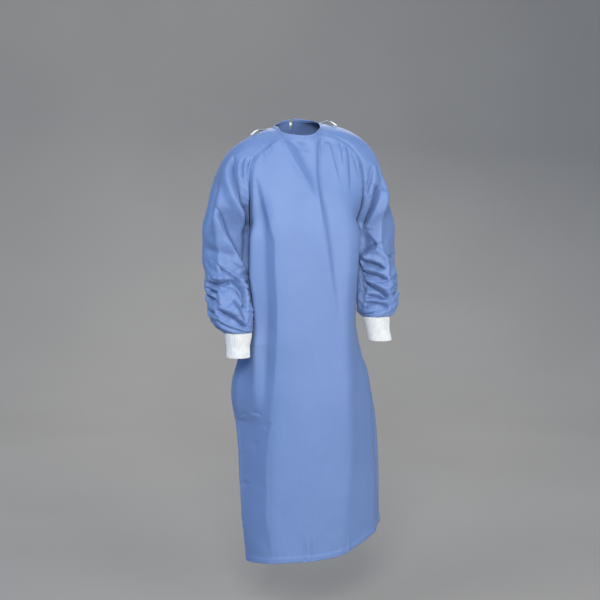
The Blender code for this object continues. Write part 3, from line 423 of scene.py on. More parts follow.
# A waist tie's path: the share of the right back's row from its seam, how far down in levels from the
# waist, and how far it stands off the cloth.
WAIST_COLUMNS = "share down lift"
WAIST_ROWS = {
    "left": [
        (0.479, -0.012, 0.0026), (0.458, -0.009, 0.003), (0.436, -0.004, 0.004), (0.404, 0, 0.0046),
    ],
    "right": [
        (0.012, -0.014, 0.0006), (0.08, -0.012, 0.0004), (0.16, -0.009, 0.0004),
        (0.24, -0.006, 0.0008), (0.3, -0.003, 0.0024), (0.3464, 0, 0.0046),
    ],
    "end_left": [
        (0.386, 0.0087, 0.0036), (0.402, 0.055, 0.0012), (0.396, 0.105, 0.0006),
        (0.406, 0.155, 0.0012), (0.42, 0.205, 0.002), (0.424, 0.255, 0.0012),
    ],
    "end_right": [
        (0.362, 0.0087, 0.0052), (0.338, 0.06, 0.002), (0.33, 0.115, 0.0006),
        (0.334, 0.17, 0.0012), (0.324, 0.225, 0.0014),
    ],
}

STITCH = 0.0030  # from one stitch to the next
STITCH_LENGTH = 0.0022
STITCH_THICK = 0.00022  # half a thread
STITCH_SIDES = 5
# A stitch's rings: their places in half lengths, and their sizes and heights in half threads.
STITCH_RINGS = [
    (-1, 0.25, -0.6), (-0.6, 0.9, 0.35), (0, 1, 0.6), (0.6, 0.9, 0.35), (1, 0.25, -0.6),
]

# The two colours between which each look varies.
GOWN_BLUE = ((0.092, 0.158, 0.330), (0.119, 0.188, 0.375))
KNIT_WHITE = ((0.50, 0.51, 0.50), (0.60, 0.61, 0.60))
TAPE_WHITE = ((0.72, 0.72, 0.69), (0.83, 0.83, 0.80))
THREAD_BLUE = ((0.15, 0.25, 0.56), (0.24, 0.36, 0.70))
PAPER_GREY = ((0.248, 0.235, 0.216), (0.260, 0.247, 0.227))

# The studio: a sweep of paper, lamps and the camera.
FLOOR_Z = -1.43
SWEEP_NEAR = -9.0
SWEEP_START = 2.6  # where the floor turns up
SWEEP_BEND = 2.8
SWEEP_HEIGHT = 7.0
SWEEP_HALF_WIDTH = 7.0
CAMERA_AZIMUTH = -15.0
CAMERA_DISTANCE = 4.0
CAMERA_PITCH = 7.0
CAMERA_LENS = 85.0
SENSOR = 36
SKY = (0.36, 0.58, 1.0, 1)
SKY_STRENGTH = 0.47
WARM = (1.0, 0.985, 0.95)
# Name, azimuth, elevation and distance from the target, target, size, watts and colour.
LAMPS = [
    ("key", (-17, 25, 4.8), (0, 0, -0.68), 1.4, 214, WARM),
    ("fill", (26, 8, 3.4), (0, 0, -0.65), 1.6, 72, WARM),
    ("cool", (-84, 12, 3.4), (0, 0, -0.70), 1.6, 18, (0.22, 0.55, 1.0)),
    ("top", (-62, 58, 3.6), (0, 0, -0.30), 1.2, 30, WARM),
    ("backdrop", (-15, 45, 4.2), (0.15, 5.4, -0.50), 3.0, 76, WARM),
    ("rear", (160, 38, 4.2), (0, 0, -0.50), 1.8, 100, WARM),
]


def table(columns, rows, scale=1.0, plain=()):
    """A table with named columns: each name gives its column as an array, times the scale except in the
    plain columns."""
    found = zip(columns.split(), np.array(rows, float).T)
    return {name: values if name in plain else values * scale for name, values in found}


YOKE = table(YOKE_COLUMNS, YOKE_ROWS)
BODY = table(BODY_COLUMNS, BODY_ROWS)
SLEEVE = table(SLEEVE_COLUMNS, SLEEVE_ROWS)
LAP = table(LAP_COLUMNS, LAP_ROWS)


def smooth_step(x):
    x = np.clip(x, 0.0, 1.0)
    return x * x * (3 - 2 * x)


def bell(x):
    return np.exp(-(x**2))


def hermite(start, start_pull, end, end_pull, w):
    a = 2 * w**3 - 3 * w**2 + 1
    b = w**3 - 2 * w**2 + w
    c = -2 * w**3 + 3 * w**2
    d = w**3 - w**2
    return a * start + b * start_pull + c * end + d * end_pull


def at_level(levels, values, level, broken=False):
    """A column at a level, on a smooth curve through the rows that may turn a corner at the underarm."""
    if broken:
        here = levels <= 1 if level <= 1 else levels >= 1
        levels, values = levels[here], values[here]
    slopes = np.gradient(values, levels, axis=0)
    i = int(np.clip(np.searchsorted(levels, level) - 1, 0, len(levels) - 2))
    step = levels[i + 1] - levels[i]
    w = (level - levels[i]) / step
    return hermite(values[i], slopes[i] * step, values[i + 1], slopes[i + 1] * step, w)


def curve(start, start_pull, end, end_pull):
    w = np.linspace(0, 1, DENSE)[:, None]
    return hermite(start, start_pull, end, end_pull, w)


def heading(degrees, length, slope=0.0):
    angle = np.radians(degrees)
    return np.array((np.cos(angle), np.sin(angle), slope)) * length


def join(*parts):
    return np.concatenate(parts)


def lengths(line):
    return join([0], np.cumsum(np.linalg.norm(np.diff(line, axis=0), axis=1)))


def between(at, along, line):
    """Points at these distances along a line, whose own points are at the distances along."""
    return np.stack([np.interp(at, along, line[:, k]) for k in range(3)], axis=-1)


def spaced(line, fractions, cut_end=0.0):
    """Points at these fractions of a line's length, less what is cut from its end."""
    along = lengths(line)
    return between(np.asarray(fractions) * (along[-1] - cut_end), along, line)


def unit(ways):
    return ways / np.linalg.norm(ways, axis=-1, keepdims=True)


def points_of(*columns):
    return np.stack(np.broadcast_arrays(*columns), axis=-1).astype(float)


def body_tracks(side):
    """The body's tables from neckline to hem, joined at the underarm, for one side."""
    rise = smooth_step((BODY["level"] - RISE_FROM) / (2 - RISE_FROM))
    z = BODY["z"]
    side_z = z + HEM_RISE[side] * rise
    side_points = points_of(BODY["side_" + side], BODY[side + "_y"], side_z)
    low = NECK_LOW * SIDES[side] * (1 - smooth_step(YOKE["level"] / 0.5))
    tracks = {"levels": join(YOKE["level"], BODY["level"])}
    for which, name in (("f", "front"), ("b", "back")):
        middle = low if which == "f" else 0
        upper = points_of(middle, YOKE[name + "_y"], YOKE[name + "_z"])
        lower = points_of(0, BODY[name + "_y"], z + HEM_RISE[name] * rise)
        tracks["centre_" + which] = join(upper, lower)
        seam = points_of(YOKE["seam_x"], YOKE[f"seam_{which}_y"], YOKE[f"seam_{which}_z"])
        tracks["seam_" + which] = join(seam, side_points)
        tracks["pull_" + which] = join(YOKE["pull_" + name], BODY["pull_" + name])
        reach = YOKE["top_x"] + abs(YOKE[name + "_y"])
        climb = (YOKE["top_z"] - YOKE[name + "_z"]) / reach * 1.2
        tracks["slope_" + which] = join(climb, np.zeros(len(z)))
    tracks["turn_f"] = join(YOKE["turn_body"], BODY["turn_" + side])
    tracks["turn_b"] = join(-YOKE["turn_body"], BODY["turn_" + side] - 180)
    tracks["pull_seam"] = join(YOKE["pull_body"], BODY["pull_" + side])
    return tracks


def sleeve_tracks(side):
    """A sleeve's tables from neckline to cuff seam, joined at the underarm."""
    underarm = BODY["z"][0]
    z = underarm + (SLEEVE_END[side] - underarm) * SLEEVE["drop"]
    inner = points_of(SLEEVE["middle_x"] - SLEEVE["half_width"], SLEEVE["middle_y"], z)
    outer = points_of(SLEEVE["middle_x"] + SLEEVE["half_width"], SLEEVE["middle_y"], z)
    outer[:, 2] += 0.010 * (1 - smooth_step((SLEEVE["level"] - 1) / 0.4))
    body = body_tracks(side)
    above = len(YOKE["level"])
    tracks = {"levels": join(YOKE["level"], SLEEVE["level"])}
    tracks["top"] = join(points_of(YOKE["top_x"], 0, YOKE["top_z"]), outer)
    for which in "fb":
        tracks["seam_" + which] = join(body["seam_" + which][:above], inner)
        slope = body["slope_" + which][:above]
        tracks["slope_" + which] = join(slope, np.zeros(len(z)))
    tracks["turn"] = join(YOKE["turn_sleeve"], np.full(len(z), -90))
    tracks["pull"] = join(YOKE["pull_sleeve"], 4 * SLEEVE["half_depth"])
    return tracks


TRACKS = {side: (body_tracks(side), sleeve_tracks(side)) for side in SIDES}


def placed(line, side, level):
    """A line made for the wearer's left, put on its own side, with the neck's sideways shift."""
    line = line * np.array((SIDES[side], 1, 1))
    fade = 1 - smooth_step(level)
    line[:, 2] += SHOULDER_TILT * fade * line[:, 0]
    return line + np.array((NECK_SHIFT * fade, 0, 0))


def reader(tracks, level):
    """A function that reads a track at the level by the track's name."""

    def read(name, broken=False):
        return at_level(tracks["levels"], tracks[name], level, broken)

    return read


def half_row(which, side, level):
    """The body's row at a level, from the centre front or back to the seam on one side."""
    at = reader(TRACKS[side][0], level)
    seam = at("seam_" + which, broken=True)
    way = heading(at("turn_" + which, broken=True), at("pull_seam"), at("slope_" + which))
    pull = heading(0, at("pull_" + which))
    return placed(curve(at("centre_" + which), pull, seam, way), side, level)


def sleeve_row(side, level):
    """A sleeve's row: from the front seam, out over the top of the arm and back to the back seam."""
    at = reader(TRACKS[side][1], level)
    top, pull = at("top"), at("pull")
    turn = at("turn", broken=True)
    halves = []
    for which, sign in (("f", 1), ("b", -1)):
        seam = at("seam_" + which, broken=True)
        if level > 1:
            seam = seam + (SEAM_GAP / 2 * smooth_step((level - 1) / 0.02), 0, 0)
        way = heading(sign * turn, pull, at("slope_" + which))
        halves.append(curve(seam, way, top, np.array((0, sign * pull, 0))))
    return placed(join(halves[0], halves[1][::-1][1:]), side, level)


def front_grid(levels, columns):
    """Rows of the front, each from the wearer's right seam to the left one."""
    rows = []
    for level in levels:
        right = half_row("f", "right", level)
        left = half_row("f", "left", level)
        rows.append(spaced(join(right[::-1], left[1:]), columns))
    return np.array(rows)


def back_grid(side, levels, columns):
    """Rows of one back panel, each from its seam to its free edge past the centre back."""
    other = "right" if side == "left" else "left"
    outer = SIDES[side]
    rows = []
    for level in levels:
        near = half_row("b", side, level)
        far = half_row("b", other, level)
        line = join(near[::-1], far[1:])
        along = lengths(line)
        centre = along[DENSE - 1]
        lap, part, flare = (at_level(LAP["level"], LAP[name], level) for name in ("lap", "part", "flare"))
        row = spaced(line, columns, along[-1] - centre - lap)
        at = np.asarray(columns) * (centre + lap)
        way = np.gradient(row, axis=0)
        way[:, 2] = 0
        out = unit(np.cross(way, UP)) * outer
        out *= np.sign(out[-1, 1]) or 1
        ramp = smooth_step((at - (centre - lap - LAP_RAMP)) / LAP_RAMP)
        lift = outer * part * ramp
        if side == "left":
            past = (at - (centre - lap)) / (2 * max(lap, 0.01))
            lift = lift + flare * smooth_step(past) ** 1.5
        rows.append(row + out * lift[:, None])
    return np.array(rows)


def sleeve_grid(side, levels, columns):
    return np.array([spaced(sleeve_row(side, level), columns) for level in levels])


def lattice(a, b, seed):
    """Random values from -1 to 1 at the corners of the unit square round each point: (0, 0), (1, 0),
    (0, 1) and (1, 1). Then the point's place in the square."""
    values = np.random.RandomState(seed).uniform(-1, 1, (LATTICE, LATTICE))
    a, b = a + LATTICE_START, b + LATTICE_START
    i, j = np.floor(a).astype(int), np.floor(b).astype(int)
    corners = [values[(i + di) % LATTICE, (j + dj) % LATTICE] for dj in (0, 1) for di in (0, 1)]
    return corners, a - i, b - j


def noise(u, v, size_u, size_v, seed):
    """Smooth uneven values from -1 to 1 with bumps of these sizes."""
    (low, along, up, far), s, t = lattice(u / size_u, v / size_v, seed)
    s, t = smooth_step(s), smooth_step(t)
    return (low * (1 - t) + up * t) * (1 - s) + (along * (1 - t) + far * t) * s


def ripple(run, size, seed):
    """Uneven values from -1 to 1 that change one way only."""
    return noise(run, run * 0, size, 1.0, seed)


def crease_depth(across, z, rows):
    """How far the cloth moves in at each point, from the creases near it."""
    found = table(CREASE_COLUMNS, rows, MM, ("crisp", "fade", "fade_end"))
    depth = np.zeros(np.shape(z))
    for k in range(len(rows)):
        crease = {name: values[k] for name, values in found.items()}
        path = crease_path(crease)
        reach = CREASE_REACH * crease["wide"]
        low, high = path.min(axis=0) - reach, path.max(axis=0) + reach
        near = (across > low[0]) & (across < high[0]) & (z > low[1]) & (z < high[1])
        if near.any():
            at, side = beside(path, np.stack([across[near], z[near]], axis=1))
            depth[near] += crease_profile(crease, at, side)
    return depth


def crease_path(crease):
    """The curve through a crease's three places, in the flat of across and z."""
    start = np.array((crease["across"], crease["z"]))
    mid = np.array((crease["mid_across"], crease["mid_z"]))
    end = np.array((crease["end_across"], crease["end_z"]))
    bend = 2 * mid - (start + end) / 2
    w = np.linspace(0, 1, CREASE_STEPS)[:, None]
    return (1 - w) ** 2 * start + 2 * w * (1 - w) * bend + w**2 * end


def beside(path, spots):
    """How far along a path each spot lies, from 0 to 1, and how far to its left."""
    leg = np.diff(path, axis=0)
    size = np.linalg.norm(leg, axis=1)
    off = spots[:, None, :] - path[None, :-1]
    along = np.clip((off * leg).sum(axis=2) / size**2, 0, 1)
    away = off - along[..., None] * leg
    gap = np.linalg.norm(away, axis=2)
    best = gap.argmin(axis=1)
    pick = np.arange(len(spots))
    at = (best + along[pick, best]) / (CREASE_STEPS - 1)
    way = leg[best] / size[best][:, None]
    side = -away[pick, best, 0] * way[:, 1] + away[pick, best, 1] * way[:, 0]
    return at, np.sign(side) * gap[pick, best]


def crease_profile(crease, at, side):
    """How far the cloth moves in at a place along a crease and a distance to the left of its curve."""
    fade = smooth_step(at / crease["fade"]) * smooth_step((1 - at) / crease["fade_end"])
    crisp = crease["crisp"]
    # Past its ends a crease narrows to nothing instead of ending in a round pit.
    r = side / crease["wide"] / (0.55 + 0.45 * fade)
    soft = (1 - 0.45 * r**2) * np.exp(-0.5 * r**2)
    sharp = (1 - 0.20 * np.minimum(abs(r), 3)) * np.exp(-1.7 * (np.sqrt(r**2 + 0.05) - 0.2236))
    shape = crisp * sharp + (1 - crisp) * soft
    lean = np.tanh(1.6 * r / (1 - 0.75 * crisp)) * np.clip(1 - (r / CREASE_REACH) ** 2, 0, 1) ** 2
    slit = crease["slit"] * bell(side / SLIT_WIDTH)
    return fade * (crease["deep"] * shape + crease["step"] * lean + slit)


def cornered(grid, places, normals, rows, turn, soft):
    """The grid with its rows drawn straight from corner to corner. Places gives each point's distance
    along its row. Turn is half the width that the cloth takes to turn the first corner, and soft the
    same for the others."""
    found = table(CORNER_COLUMNS, rows, MM, ("share",))
    order = np.argsort(found["z"])
    made = grid.copy()
    for k in range(len(grid)):
        flip = slice(None, None, 1 if places[k, -1] > places[k, 0] else -1)
        t, row, out = places[k, flip], grid[k, flip], normals[k, flip]
        z = np.interp(CORNERS_AT, t, row[:, 2])
        at = {name: np.interp(z, found["z"][order], found[name][order]) for name in found}
        if at["share"] <= 0:
            continue
        wander = WANDER * ripple(np.array(z), 0.10, CORNER_SEED + len(rows))
        spots = np.array([at["first"] + wander, at["second"] + wander, at["third"], at["last"]])
        spots = np.maximum.accumulate(np.minimum(spots, t[-1] - 0.001) + np.arange(4) * 1e-5)
        offset = np.array((0, -at["sink"], at["lift"], 0))[:, None]
        corners = between(spots, t, row) + between(spots, t, out) * offset
        width = turn + (soft - turn) * smooth_step((t - spots[0]) / 0.02)
        drawn = np.zeros_like(row)
        shifts = np.linspace(-1, 1, 9)
        for shift in shifts:
            spot = np.clip(t + width * shift, t[0], t[-1])
            bent = between(spot, spots, corners)
            inside = ((spot > spots[0]) & (spot < spots[-1]))[:, None]
            drawn += np.where(inside, bent, between(spot, t, row)) / len(shifts)
        near = smooth_step((t - spots[0] + 2 * width + 0.004) / 0.006) * smooth_step((t[-1] - t) / 0.010)
        made[k][flip] = row + (drawn - row) * (at["share"] * near)[:, None]
    return made


def from_edges(grid):
    """How far each point is along its row from the first column and from the last one."""
    along = along_rows(grid)
    return along, along[:, -1:] - along


def from_centre(grid):
    """How far each point of the front is along its row from the centre line, to the wearer's left."""
    along = along_rows(grid)
    middle = [np.interp(0.0, grid[k, :, 0], along[k]) for k in range(len(grid))]
    return along - np.array(middle)[:, None]


def grid_index(shape, closed_from=None):
    """A grid's point numbers. From the row closed_from on, its first and last columns are one."""
    index = np.arange(shape[0] * shape[1]).reshape(shape[:2])
    if closed_from is not None:
        index[closed_from:, -1] = index[closed_from:, 0]
    return index


def grid_faces(index, flip=False):
    """Quads of a grid of point numbers. Rows that run down and columns that run to the wearer's left
    face the front, and flip turns them round."""
    a, b = index[:-1, :-1], index[:-1, 1:]
    c, d = index[1:, 1:], index[1:, :-1]
    faces = np.stack([a, d, c, b], axis=-1).reshape(-1, 4)
    return faces[:, ::-1] if flip else faces


def normals_of(points, faces):
    corners = points[faces]
    face = np.cross(corners[:, 2] - corners[:, 0], corners[:, 3] - corners[:, 1])
    normals = np.zeros_like(points)
    for k in range(4):
        np.add.at(normals, faces[:, k], face)
    return normals / np.maximum(np.linalg.norm(normals, axis=1), 1e-12)[:, None]


def grid_normals(grid, closed_from=None, flip=False):
    index = grid_index(grid.shape, closed_from)
    return normals_of(grid.reshape(-1, 3), grid_faces(index, flip))[index]


def along_rows(grid):
    step = np.linalg.norm(np.diff(grid, axis=1), axis=2)
    return np.concatenate([np.zeros((len(grid), 1)), np.cumsum(step, axis=1)], axis=1)


def down_rows(grid):
    """How far down each row lies, along the panel's middle column."""
    return lengths(grid[:, grid.shape[1] // 2])


def by_row(values, grid):
    """One value for each row of a grid, given at all its points."""
    return np.broadcast_to(values[:, None], grid.shape[:2])


def edged(count, length, edges=(1, 1)):
    """Fractions of a row, even but for finer steps at its ends."""
    inner = np.linspace(0, 1, count)
    fine = np.array(EDGE_STEPS) / length
    inner = inner[(inner > fine[-1] * 1.3 * edges[0]) & (inner < 1 - fine[-1] * 1.3 * edges[1])]
    first = fine if edges[0] else [0.0]
    last = 1 - fine[::-1] if edges[1] else [1.0]
    inner = inner[(inner > 0) & (inner < 1)]
    return join(first, inner, last)


def level_steps(yoke, below):
    """Levels from neckline to hem, finer at the neckline and the hem."""
    top = join(TOP_STEPS, np.linspace(0, 1, yoke)[2:])
    low = np.linspace(1, 2, below)[1:]
    fine = 2 - np.array(HEM_ROWS)
    return join(top, low[low < 2 - 0.011], fine)


def softened(grid, levels, times, free_edge=False):
    """The grid with the slight kinks between its table's rows smoothed out down its columns. Its sewn
    edges keep their corner at the underarm."""
    along, back = from_edges(grid)
    gap = along if free_edge else np.minimum(along, back)
    gap = gap[1:-1, :, None]
    levels = np.asarray(levels)[1:-1, None, None]
    corner = smooth_step(abs(levels - UNDERARM) / 0.08)
    keep = np.maximum(corner, smooth_step((gap - 0.004) / 0.05))
    keep = keep * smooth_step(levels / 0.05) * smooth_step((2 - levels) / 0.04)
    for _ in range(times):
        even = (grid[:-2] + grid[2:]) / 2
        grid[1:-1] += (even - grid[1:-1]) * 0.5 * keep
    return grid


def seam_ripples(gap, run, seed):
    """The cloth's turn into a seam, with uneven ripples beside it. Gap is the distance from the seam."""
    roll = SEAM_ROLL * bell(gap / SEAM_SOFT) * smooth_step((run - 0.08) / 0.10)
    size = ripple(run, 0.055, seed) * 0.5 + 0.75
    wave = ripple(run + 0.25 * gap, 0.0085, seed + 1)
    fade = smooth_step(gap / 0.004) * np.exp(-gap / PUCKER_REACH)
    return roll + PUCKER * 2.4 * size * wave * fade


def grooved(grid, gap, level, way, seed):
    """The grid with its cloth sunk in beside an armhole seam, the same way on both sides of the seam."""
    found = table(GROOVE_COLUMNS, GROOVE_ROWS)
    size = np.interp(level, found["level"], found["deep"])
    size = size * (1 + 0.35 * ripple(level, 0.09, seed))
    grid[..., 1] += way * size * bell(gap / GROOVE_SOFT)
    return grid


def facets(u, v, kind, seed=0):
    """Flat three-cornered faces at random depths, of the kind's sizes."""
    size_u, size_v, own_seed, deep = kind
    b = v / size_v
    slanted = u / size_u + 0.5 * (b + LATTICE_START)
    (low, along, up, far), s, t = lattice(slanted, b, seed + own_seed)
    near_half = low + s * (along - low) + t * (up - low)
    far_half = far + (1 - s) * (up - far) + (1 - t) * (along - far)
    return deep * np.where(s + t < 1, near_half, far_half)


def puffs(u, v, kind, seed):
    """Sharp valleys between rounded puffs of cloth. Slant is how much the valleys turn."""
    size_u, size_v, slant, own_seed, deep = kind
    seed += own_seed
    bend = noise(u, v, 0.045, 0.040, seed) * 0.35
    cross = noise(u, v, 0.045, 0.040, seed + 1) * 0.35
    height = noise(u + cross * size_u, v + slant * u + bend * size_v, size_u, size_v, seed + 2)
    return deep * np.clip(1 - abs(height) / 0.55, 0, 1) ** 1.6


def crumple(across, z, seed, big, small):
    """Broad and fine unevenness of hanging cloth."""
    bend = noise(across, z, 0.11, 0.16, seed) * 0.03
    broad = noise(across + bend, z, 0.055, 0.24, seed + 1)
    fine = noise(across + bend, z + bend, 0.021, 0.034, seed + 2)
    tiny = noise(across - bend, z + bend, 0.009, 0.013, seed + 3)
    return big * broad + small * (fine + 0.35 * tiny)


def cracked(across, z, seed, size, deep):
    """Thin broken creases that run every way, as in cloth that has been crushed."""
    bend = noise(across, z, 0.03, 0.03, seed) * 0.008
    line = noise(across + bend, z - bend, size, size * 0.8, seed + 1)
    broken = smooth_step((noise(across, z, size, size, seed + 2) + 0.35) / 0.5)
    return deep * broken * np.clip(1 - abs(line) / 0.22, 0, 1) ** 2


def turned_hem(grid, normals, rows_up=6):
    """Adds the hem's inner layer below the last row: it turns in and runs back up."""
    turn = [grid[-1] - normals[-1] * HEM_THICK * (1 - math.cos(a)) / 2 for a in (1.0, 2.1)]
    up = [grid[-1 - k] - normals[-1 - k] * HEM_THICK for k in range(rows_up)]
    return join(grid, np.array(turn), np.array(up))


def front_panel():
    yoke, below, across, measure, times = FINENESS["front"]
    levels = level_steps(yoke, below)
    grid = softened(front_grid(levels, edged(across, measure)), levels, times)
    for rows, side, turn, soft in FRONT_SHAPES:
        grid = cornered(grid, side * from_centre(grid), grid_normals(grid), rows, turn, soft)
    across, z = grid[..., 0], grid[..., 2]
    along, back = from_edges(grid)
    gap = np.minimum(along, back)
    level = by_row(levels, grid)
    keep = smooth_step(gap / SEAM_REACH) * smooth_step(level / 0.10)
    run = by_row(down_rows(grid), grid)
    hang = 0.5 + 0.5 * smooth_step((-z - 0.5) / 0.6)
    depth = crease_depth(across, z, FRONT_CREASES) * keep
    depth += crumple(across, z, 11, BROAD, FINE) * keep * hang
    depth += seam_ripples(along, run, 21) * (across < 0)
    depth += seam_ripples(back, run, 31) * (across >= 0)
    depth -= hem_band(levels, across, 41)
    depth += (facets(across, z, FRONT_BROAD) + facets(across, z, FRONT_FINE)) * keep
    grid = grid - grid_normals(grid) * depth[..., None]
    grid = grooved(grid, along, level, 1, ARMHOLE_SEEDS["right"][0])
    return grooved(grid, back, level, 1, ARMHOLE_SEEDS["left"][0]), levels


def hem_band(levels, across, seed):
    """The hem's two layers stand a little proud, and ripple where they are stitched."""
    up = (2 - levels[:, None]) * 0.95
    band = 1 - smooth_step((up - HEM_WIDTH) / 0.0016)
    uneven = ripple(across, 0.013, seed) * bell((up - HEM_WIDTH) / 0.012)
    return HEM_PROUD * band + HEM_RIPPLE * uneven


def back_panel(side):
    yoke, below, across, measure, times = FINENESS["back"]
    levels = level_steps(yoke, below)
    columns = edged(across, measure, edges=(1, 0))
    grid = softened(back_grid(side, levels, columns), levels, times, free_edge=True)
    across, z = grid[..., 0], grid[..., 2]
    along, free = from_edges(grid)
    level = by_row(levels, grid)
    keep = smooth_step(along / SEAM_REACH) * smooth_step(level / 0.08)
    run = by_row(down_rows(grid), grid)
    seed = BACK_SEEDS[side]
    depth = crease_depth(across, z, BACK_CREASES) * keep
    depth += crumple(across, z, seed, BROAD, FINE) * keep
    depth += seam_ripples(along, run, seed + 5)
    stand = SIDE_STAND[side] * smooth_step((-z - 0.50) / 0.15)
    stand *= 0.75 + 0.45 * ripple(run, 0.09, seed + 9)
    depth -= SIDE_FOLD * stand * bell((along - SIDE_FOLD_AT) / 0.008)
    depth += SIDE_SINK * stand * bell(along / 0.004)
    band = 1 - smooth_step((free - FREE_HEM) / 0.0016)
    depth -= hem_band(levels, across, seed + 7) + FREE_PROUD * band
    grid = grid - grid_normals(grid, None, side == "right") * depth[..., None]
    return grooved(grid, along, level, ARMHOLE_BACK, ARMHOLE_SEEDS[side][1])


def sleeve_panel(side):
    yoke, below, across, measure, times = FINENESS["sleeve"]
    levels = join(TOP_STEPS, np.linspace(0, 1, yoke)[2:], np.linspace(1, 2, below)[1:])
    grid = softened(sleeve_grid(side, levels, edged(across, measure)), levels, times)
    closed_from = int(np.searchsorted(levels, UNDERARM))
    flip = side == "right"
    along, back = from_edges(grid)
    normals = grid_normals(grid, closed_from, flip)
    sides = SLEEVE_RIGHT_SIDES if flip else SLEEVE_LEFT_SIDES
    grid = cornered(grid, (back - along) / 2, normals, sides, *SLEEVE_TURNS)
    along, back = from_edges(grid)
    depth = sleeve_depth(grid, along, back, levels, side)
    grid = grid - grid_normals(grid, closed_from, flip) * depth[..., None]
    level = by_row(levels, grid)
    grid = grooved(grid, along, level, 1, ARMHOLE_SEEDS[side][0])
    return grooved(grid, back, level, ARMHOLE_BACK, ARMHOLE_SEEDS[side][1]), closed_from


def sleeve_depth(grid, along, back, levels, side):
    """How far a sleeve's cloth moves in at each point. Along and back are the ways to its seams."""
    across, z = (back - along) / 2, grid[..., 2]
    gap = np.minimum(along, back)
    level = by_row(levels, grid)
    keep = smooth_step(gap / SEAM_REACH) * smooth_step(level / 0.08) * smooth_step((2 - level) / 0.06)
    rows = SLEEVE_RIGHT_CREASES if side == "right" else SLEEVE_LEFT_CREASES
    seed = SLEEVE_SEEDS[side]
    run = by_row(down_rows(grid), grid)
    bunch = smooth_step((level - 1.20) / 0.35)
    bend = noise(across, z, 0.05, 0.05, seed + 20) * 0.012
    depth = SLEEVE_CREASES_DEEP * crease_depth(across, z, rows)
    depth += crumple(across, z, seed, BROAD, 0.0004 + 0.0006 * bunch)
    depth += facets(across + bend, z - bend, SLEEVE_BROAD, seed)
    depth += facets(across - bend, z + bend, SLEEVE_FINE, seed) * bunch
    depth += puffs(across, z, SLEEVE_PUFFS, seed) * bunch
    depth += puffs(across, z, SLEEVE_DRAPES, seed) * (0.25 + 0.75 * bunch)
    depth += cracked(across, z, seed + 11, 0.030, 0.0004 + 0.0008 * bunch)
    depth *= keep
    depth += seam_ripples(along, run, seed + 5) * (across > 0)
    depth += seam_ripples(back, run, seed + 6) * (across <= 0)
    return depth + gathers(across, level, seed + 8)


def gathers(across, level, seed):
    """Puckers where a sleeve is drawn into its cuff, of uneven length and height."""
    up = (2 - level) * 0.27
    reach = 0.020 + 0.016 * ripple(across, 0.020, seed)
    wave = noise(across, up * 0.12, 0.0062, 1.0, seed + 1)
    ridge = 1 - 2 * abs(wave)
    return 0.0026 * ridge * bell(up / reach) * smooth_step((up + 0.003) / 0.006)


def panel_object(name, grid, look, closed_from=None, flip=False):
    """A mesh of the grid, with a UV map in metres along and down the cloth."""
    index = grid_index(grid.shape, closed_from)
    faces = grid_faces(index, flip)
    along = along_rows(grid)
    u = along - along[:, -1:] / 2
    v = by_row(down_rows(grid), grid)
    plain = grid_faces(grid_index(grid.shape), flip).reshape(-1)
    uv = np.stack([u.reshape(-1)[plain], v.reshape(-1)[plain]], axis=1)
    return mesh_object(name, grid.reshape(-1, 3), faces, look, uv)


def link(made):
    bpy.context.scene.collection.objects.link(made)
    return made


def plain_object(name, points, faces, look):
    mesh = bpy.data.meshes.new(name)
    mesh.from_pydata(points.tolist(), [], faces.tolist())
    mesh.shade_smooth()
    mesh.materials.append(look)
    return link(bpy.data.objects.new(name, mesh))


def mesh_object(name, points, faces, look, uv=None):
    used, order = np.unique(faces, return_inverse=True)
    made = plain_object(name, points[used], order.reshape(-1, 4), look)
    if uv is not None:
        layer = made.data.uv_layers.new(name="cloth")
        layer.data.foreach_set("uv", uv.astype(np.float32).ravel())
    made.data.validate()
    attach(made, "root")
    return made


def solid(points, faces, thickness):
    """The outer face, an inner face one thickness in, and walls round its open edges."""
    inner = points - normals_of(points, faces) * thickness
    count = len(points)
    edges = np.concatenate([faces[:, [k, (k + 1) % 4]] for k in range(4)])
    keys = np.sort(edges, axis=1)
    _, first, times = np.unique(keys, axis=0, return_index=True, return_counts=True)
    rim = edges[first[times == 1]]
    walls = np.stack([rim[:, 1], rim[:, 0], rim[:, 0] + count, rim[:, 1] + count], axis=1)
    return join(points, inner), join(faces, faces[:, ::-1] + count, walls)


def cuff_grid(side, steps, columns):
    """Rings from the sleeve's end along the forearm."""
    ring = spaced(sleeve_row(side, 2.0), columns)
    middle = (ring.min(axis=0) + ring.max(axis=0)) / 2
    lean = unit(CUFF_LEAN * np.array((SIDES[side], 1, 1)))
    rows = []
    for w in np.linspace(0, 1, steps):
        size = CUFF_SIZE + (CUFF_TAPER - CUFF_SIZE) * smooth_step(w * 1.6)
        rows.append(middle + (ring - middle) * size + lean * (SEAM_GAP + CUFF_LENGTH * w))
    return np.array(rows)


def cuff(side, look):
    columns = np.linspace(0, 1, RIBS * 6 + 1)
    flip = side == "right"
    grid = cuff_grid(side, CUFF_RINGS, columns)
    normals = grid_normals(grid, 0, flip)
    w = np.linspace(0, 1, CUFF_RINGS)[:, None]
    rib = np.cos(2 * np.pi * RIBS * columns)[None, :]
    wave = noise(columns[None, :] * 0.2 + w * 0, w * 0.07, 0.03, 0.02, 131)
    grid = grid + normals * (RIB_HEIGHT * rib + CUFF_UNEVEN * wave)[..., None]
    low = [grid[-1] - normals[-1] * d for d in CUFF_TURN]
    inner = [grid[-1 - k] - normals[-1 - k] * CUFF_TURN[-1] for k in range(1, 40, 3)]
    grid = join(grid, np.array(low), np.array(inner))
    return panel_object("cuff_knit_" + side, grid, look, 0, flip)


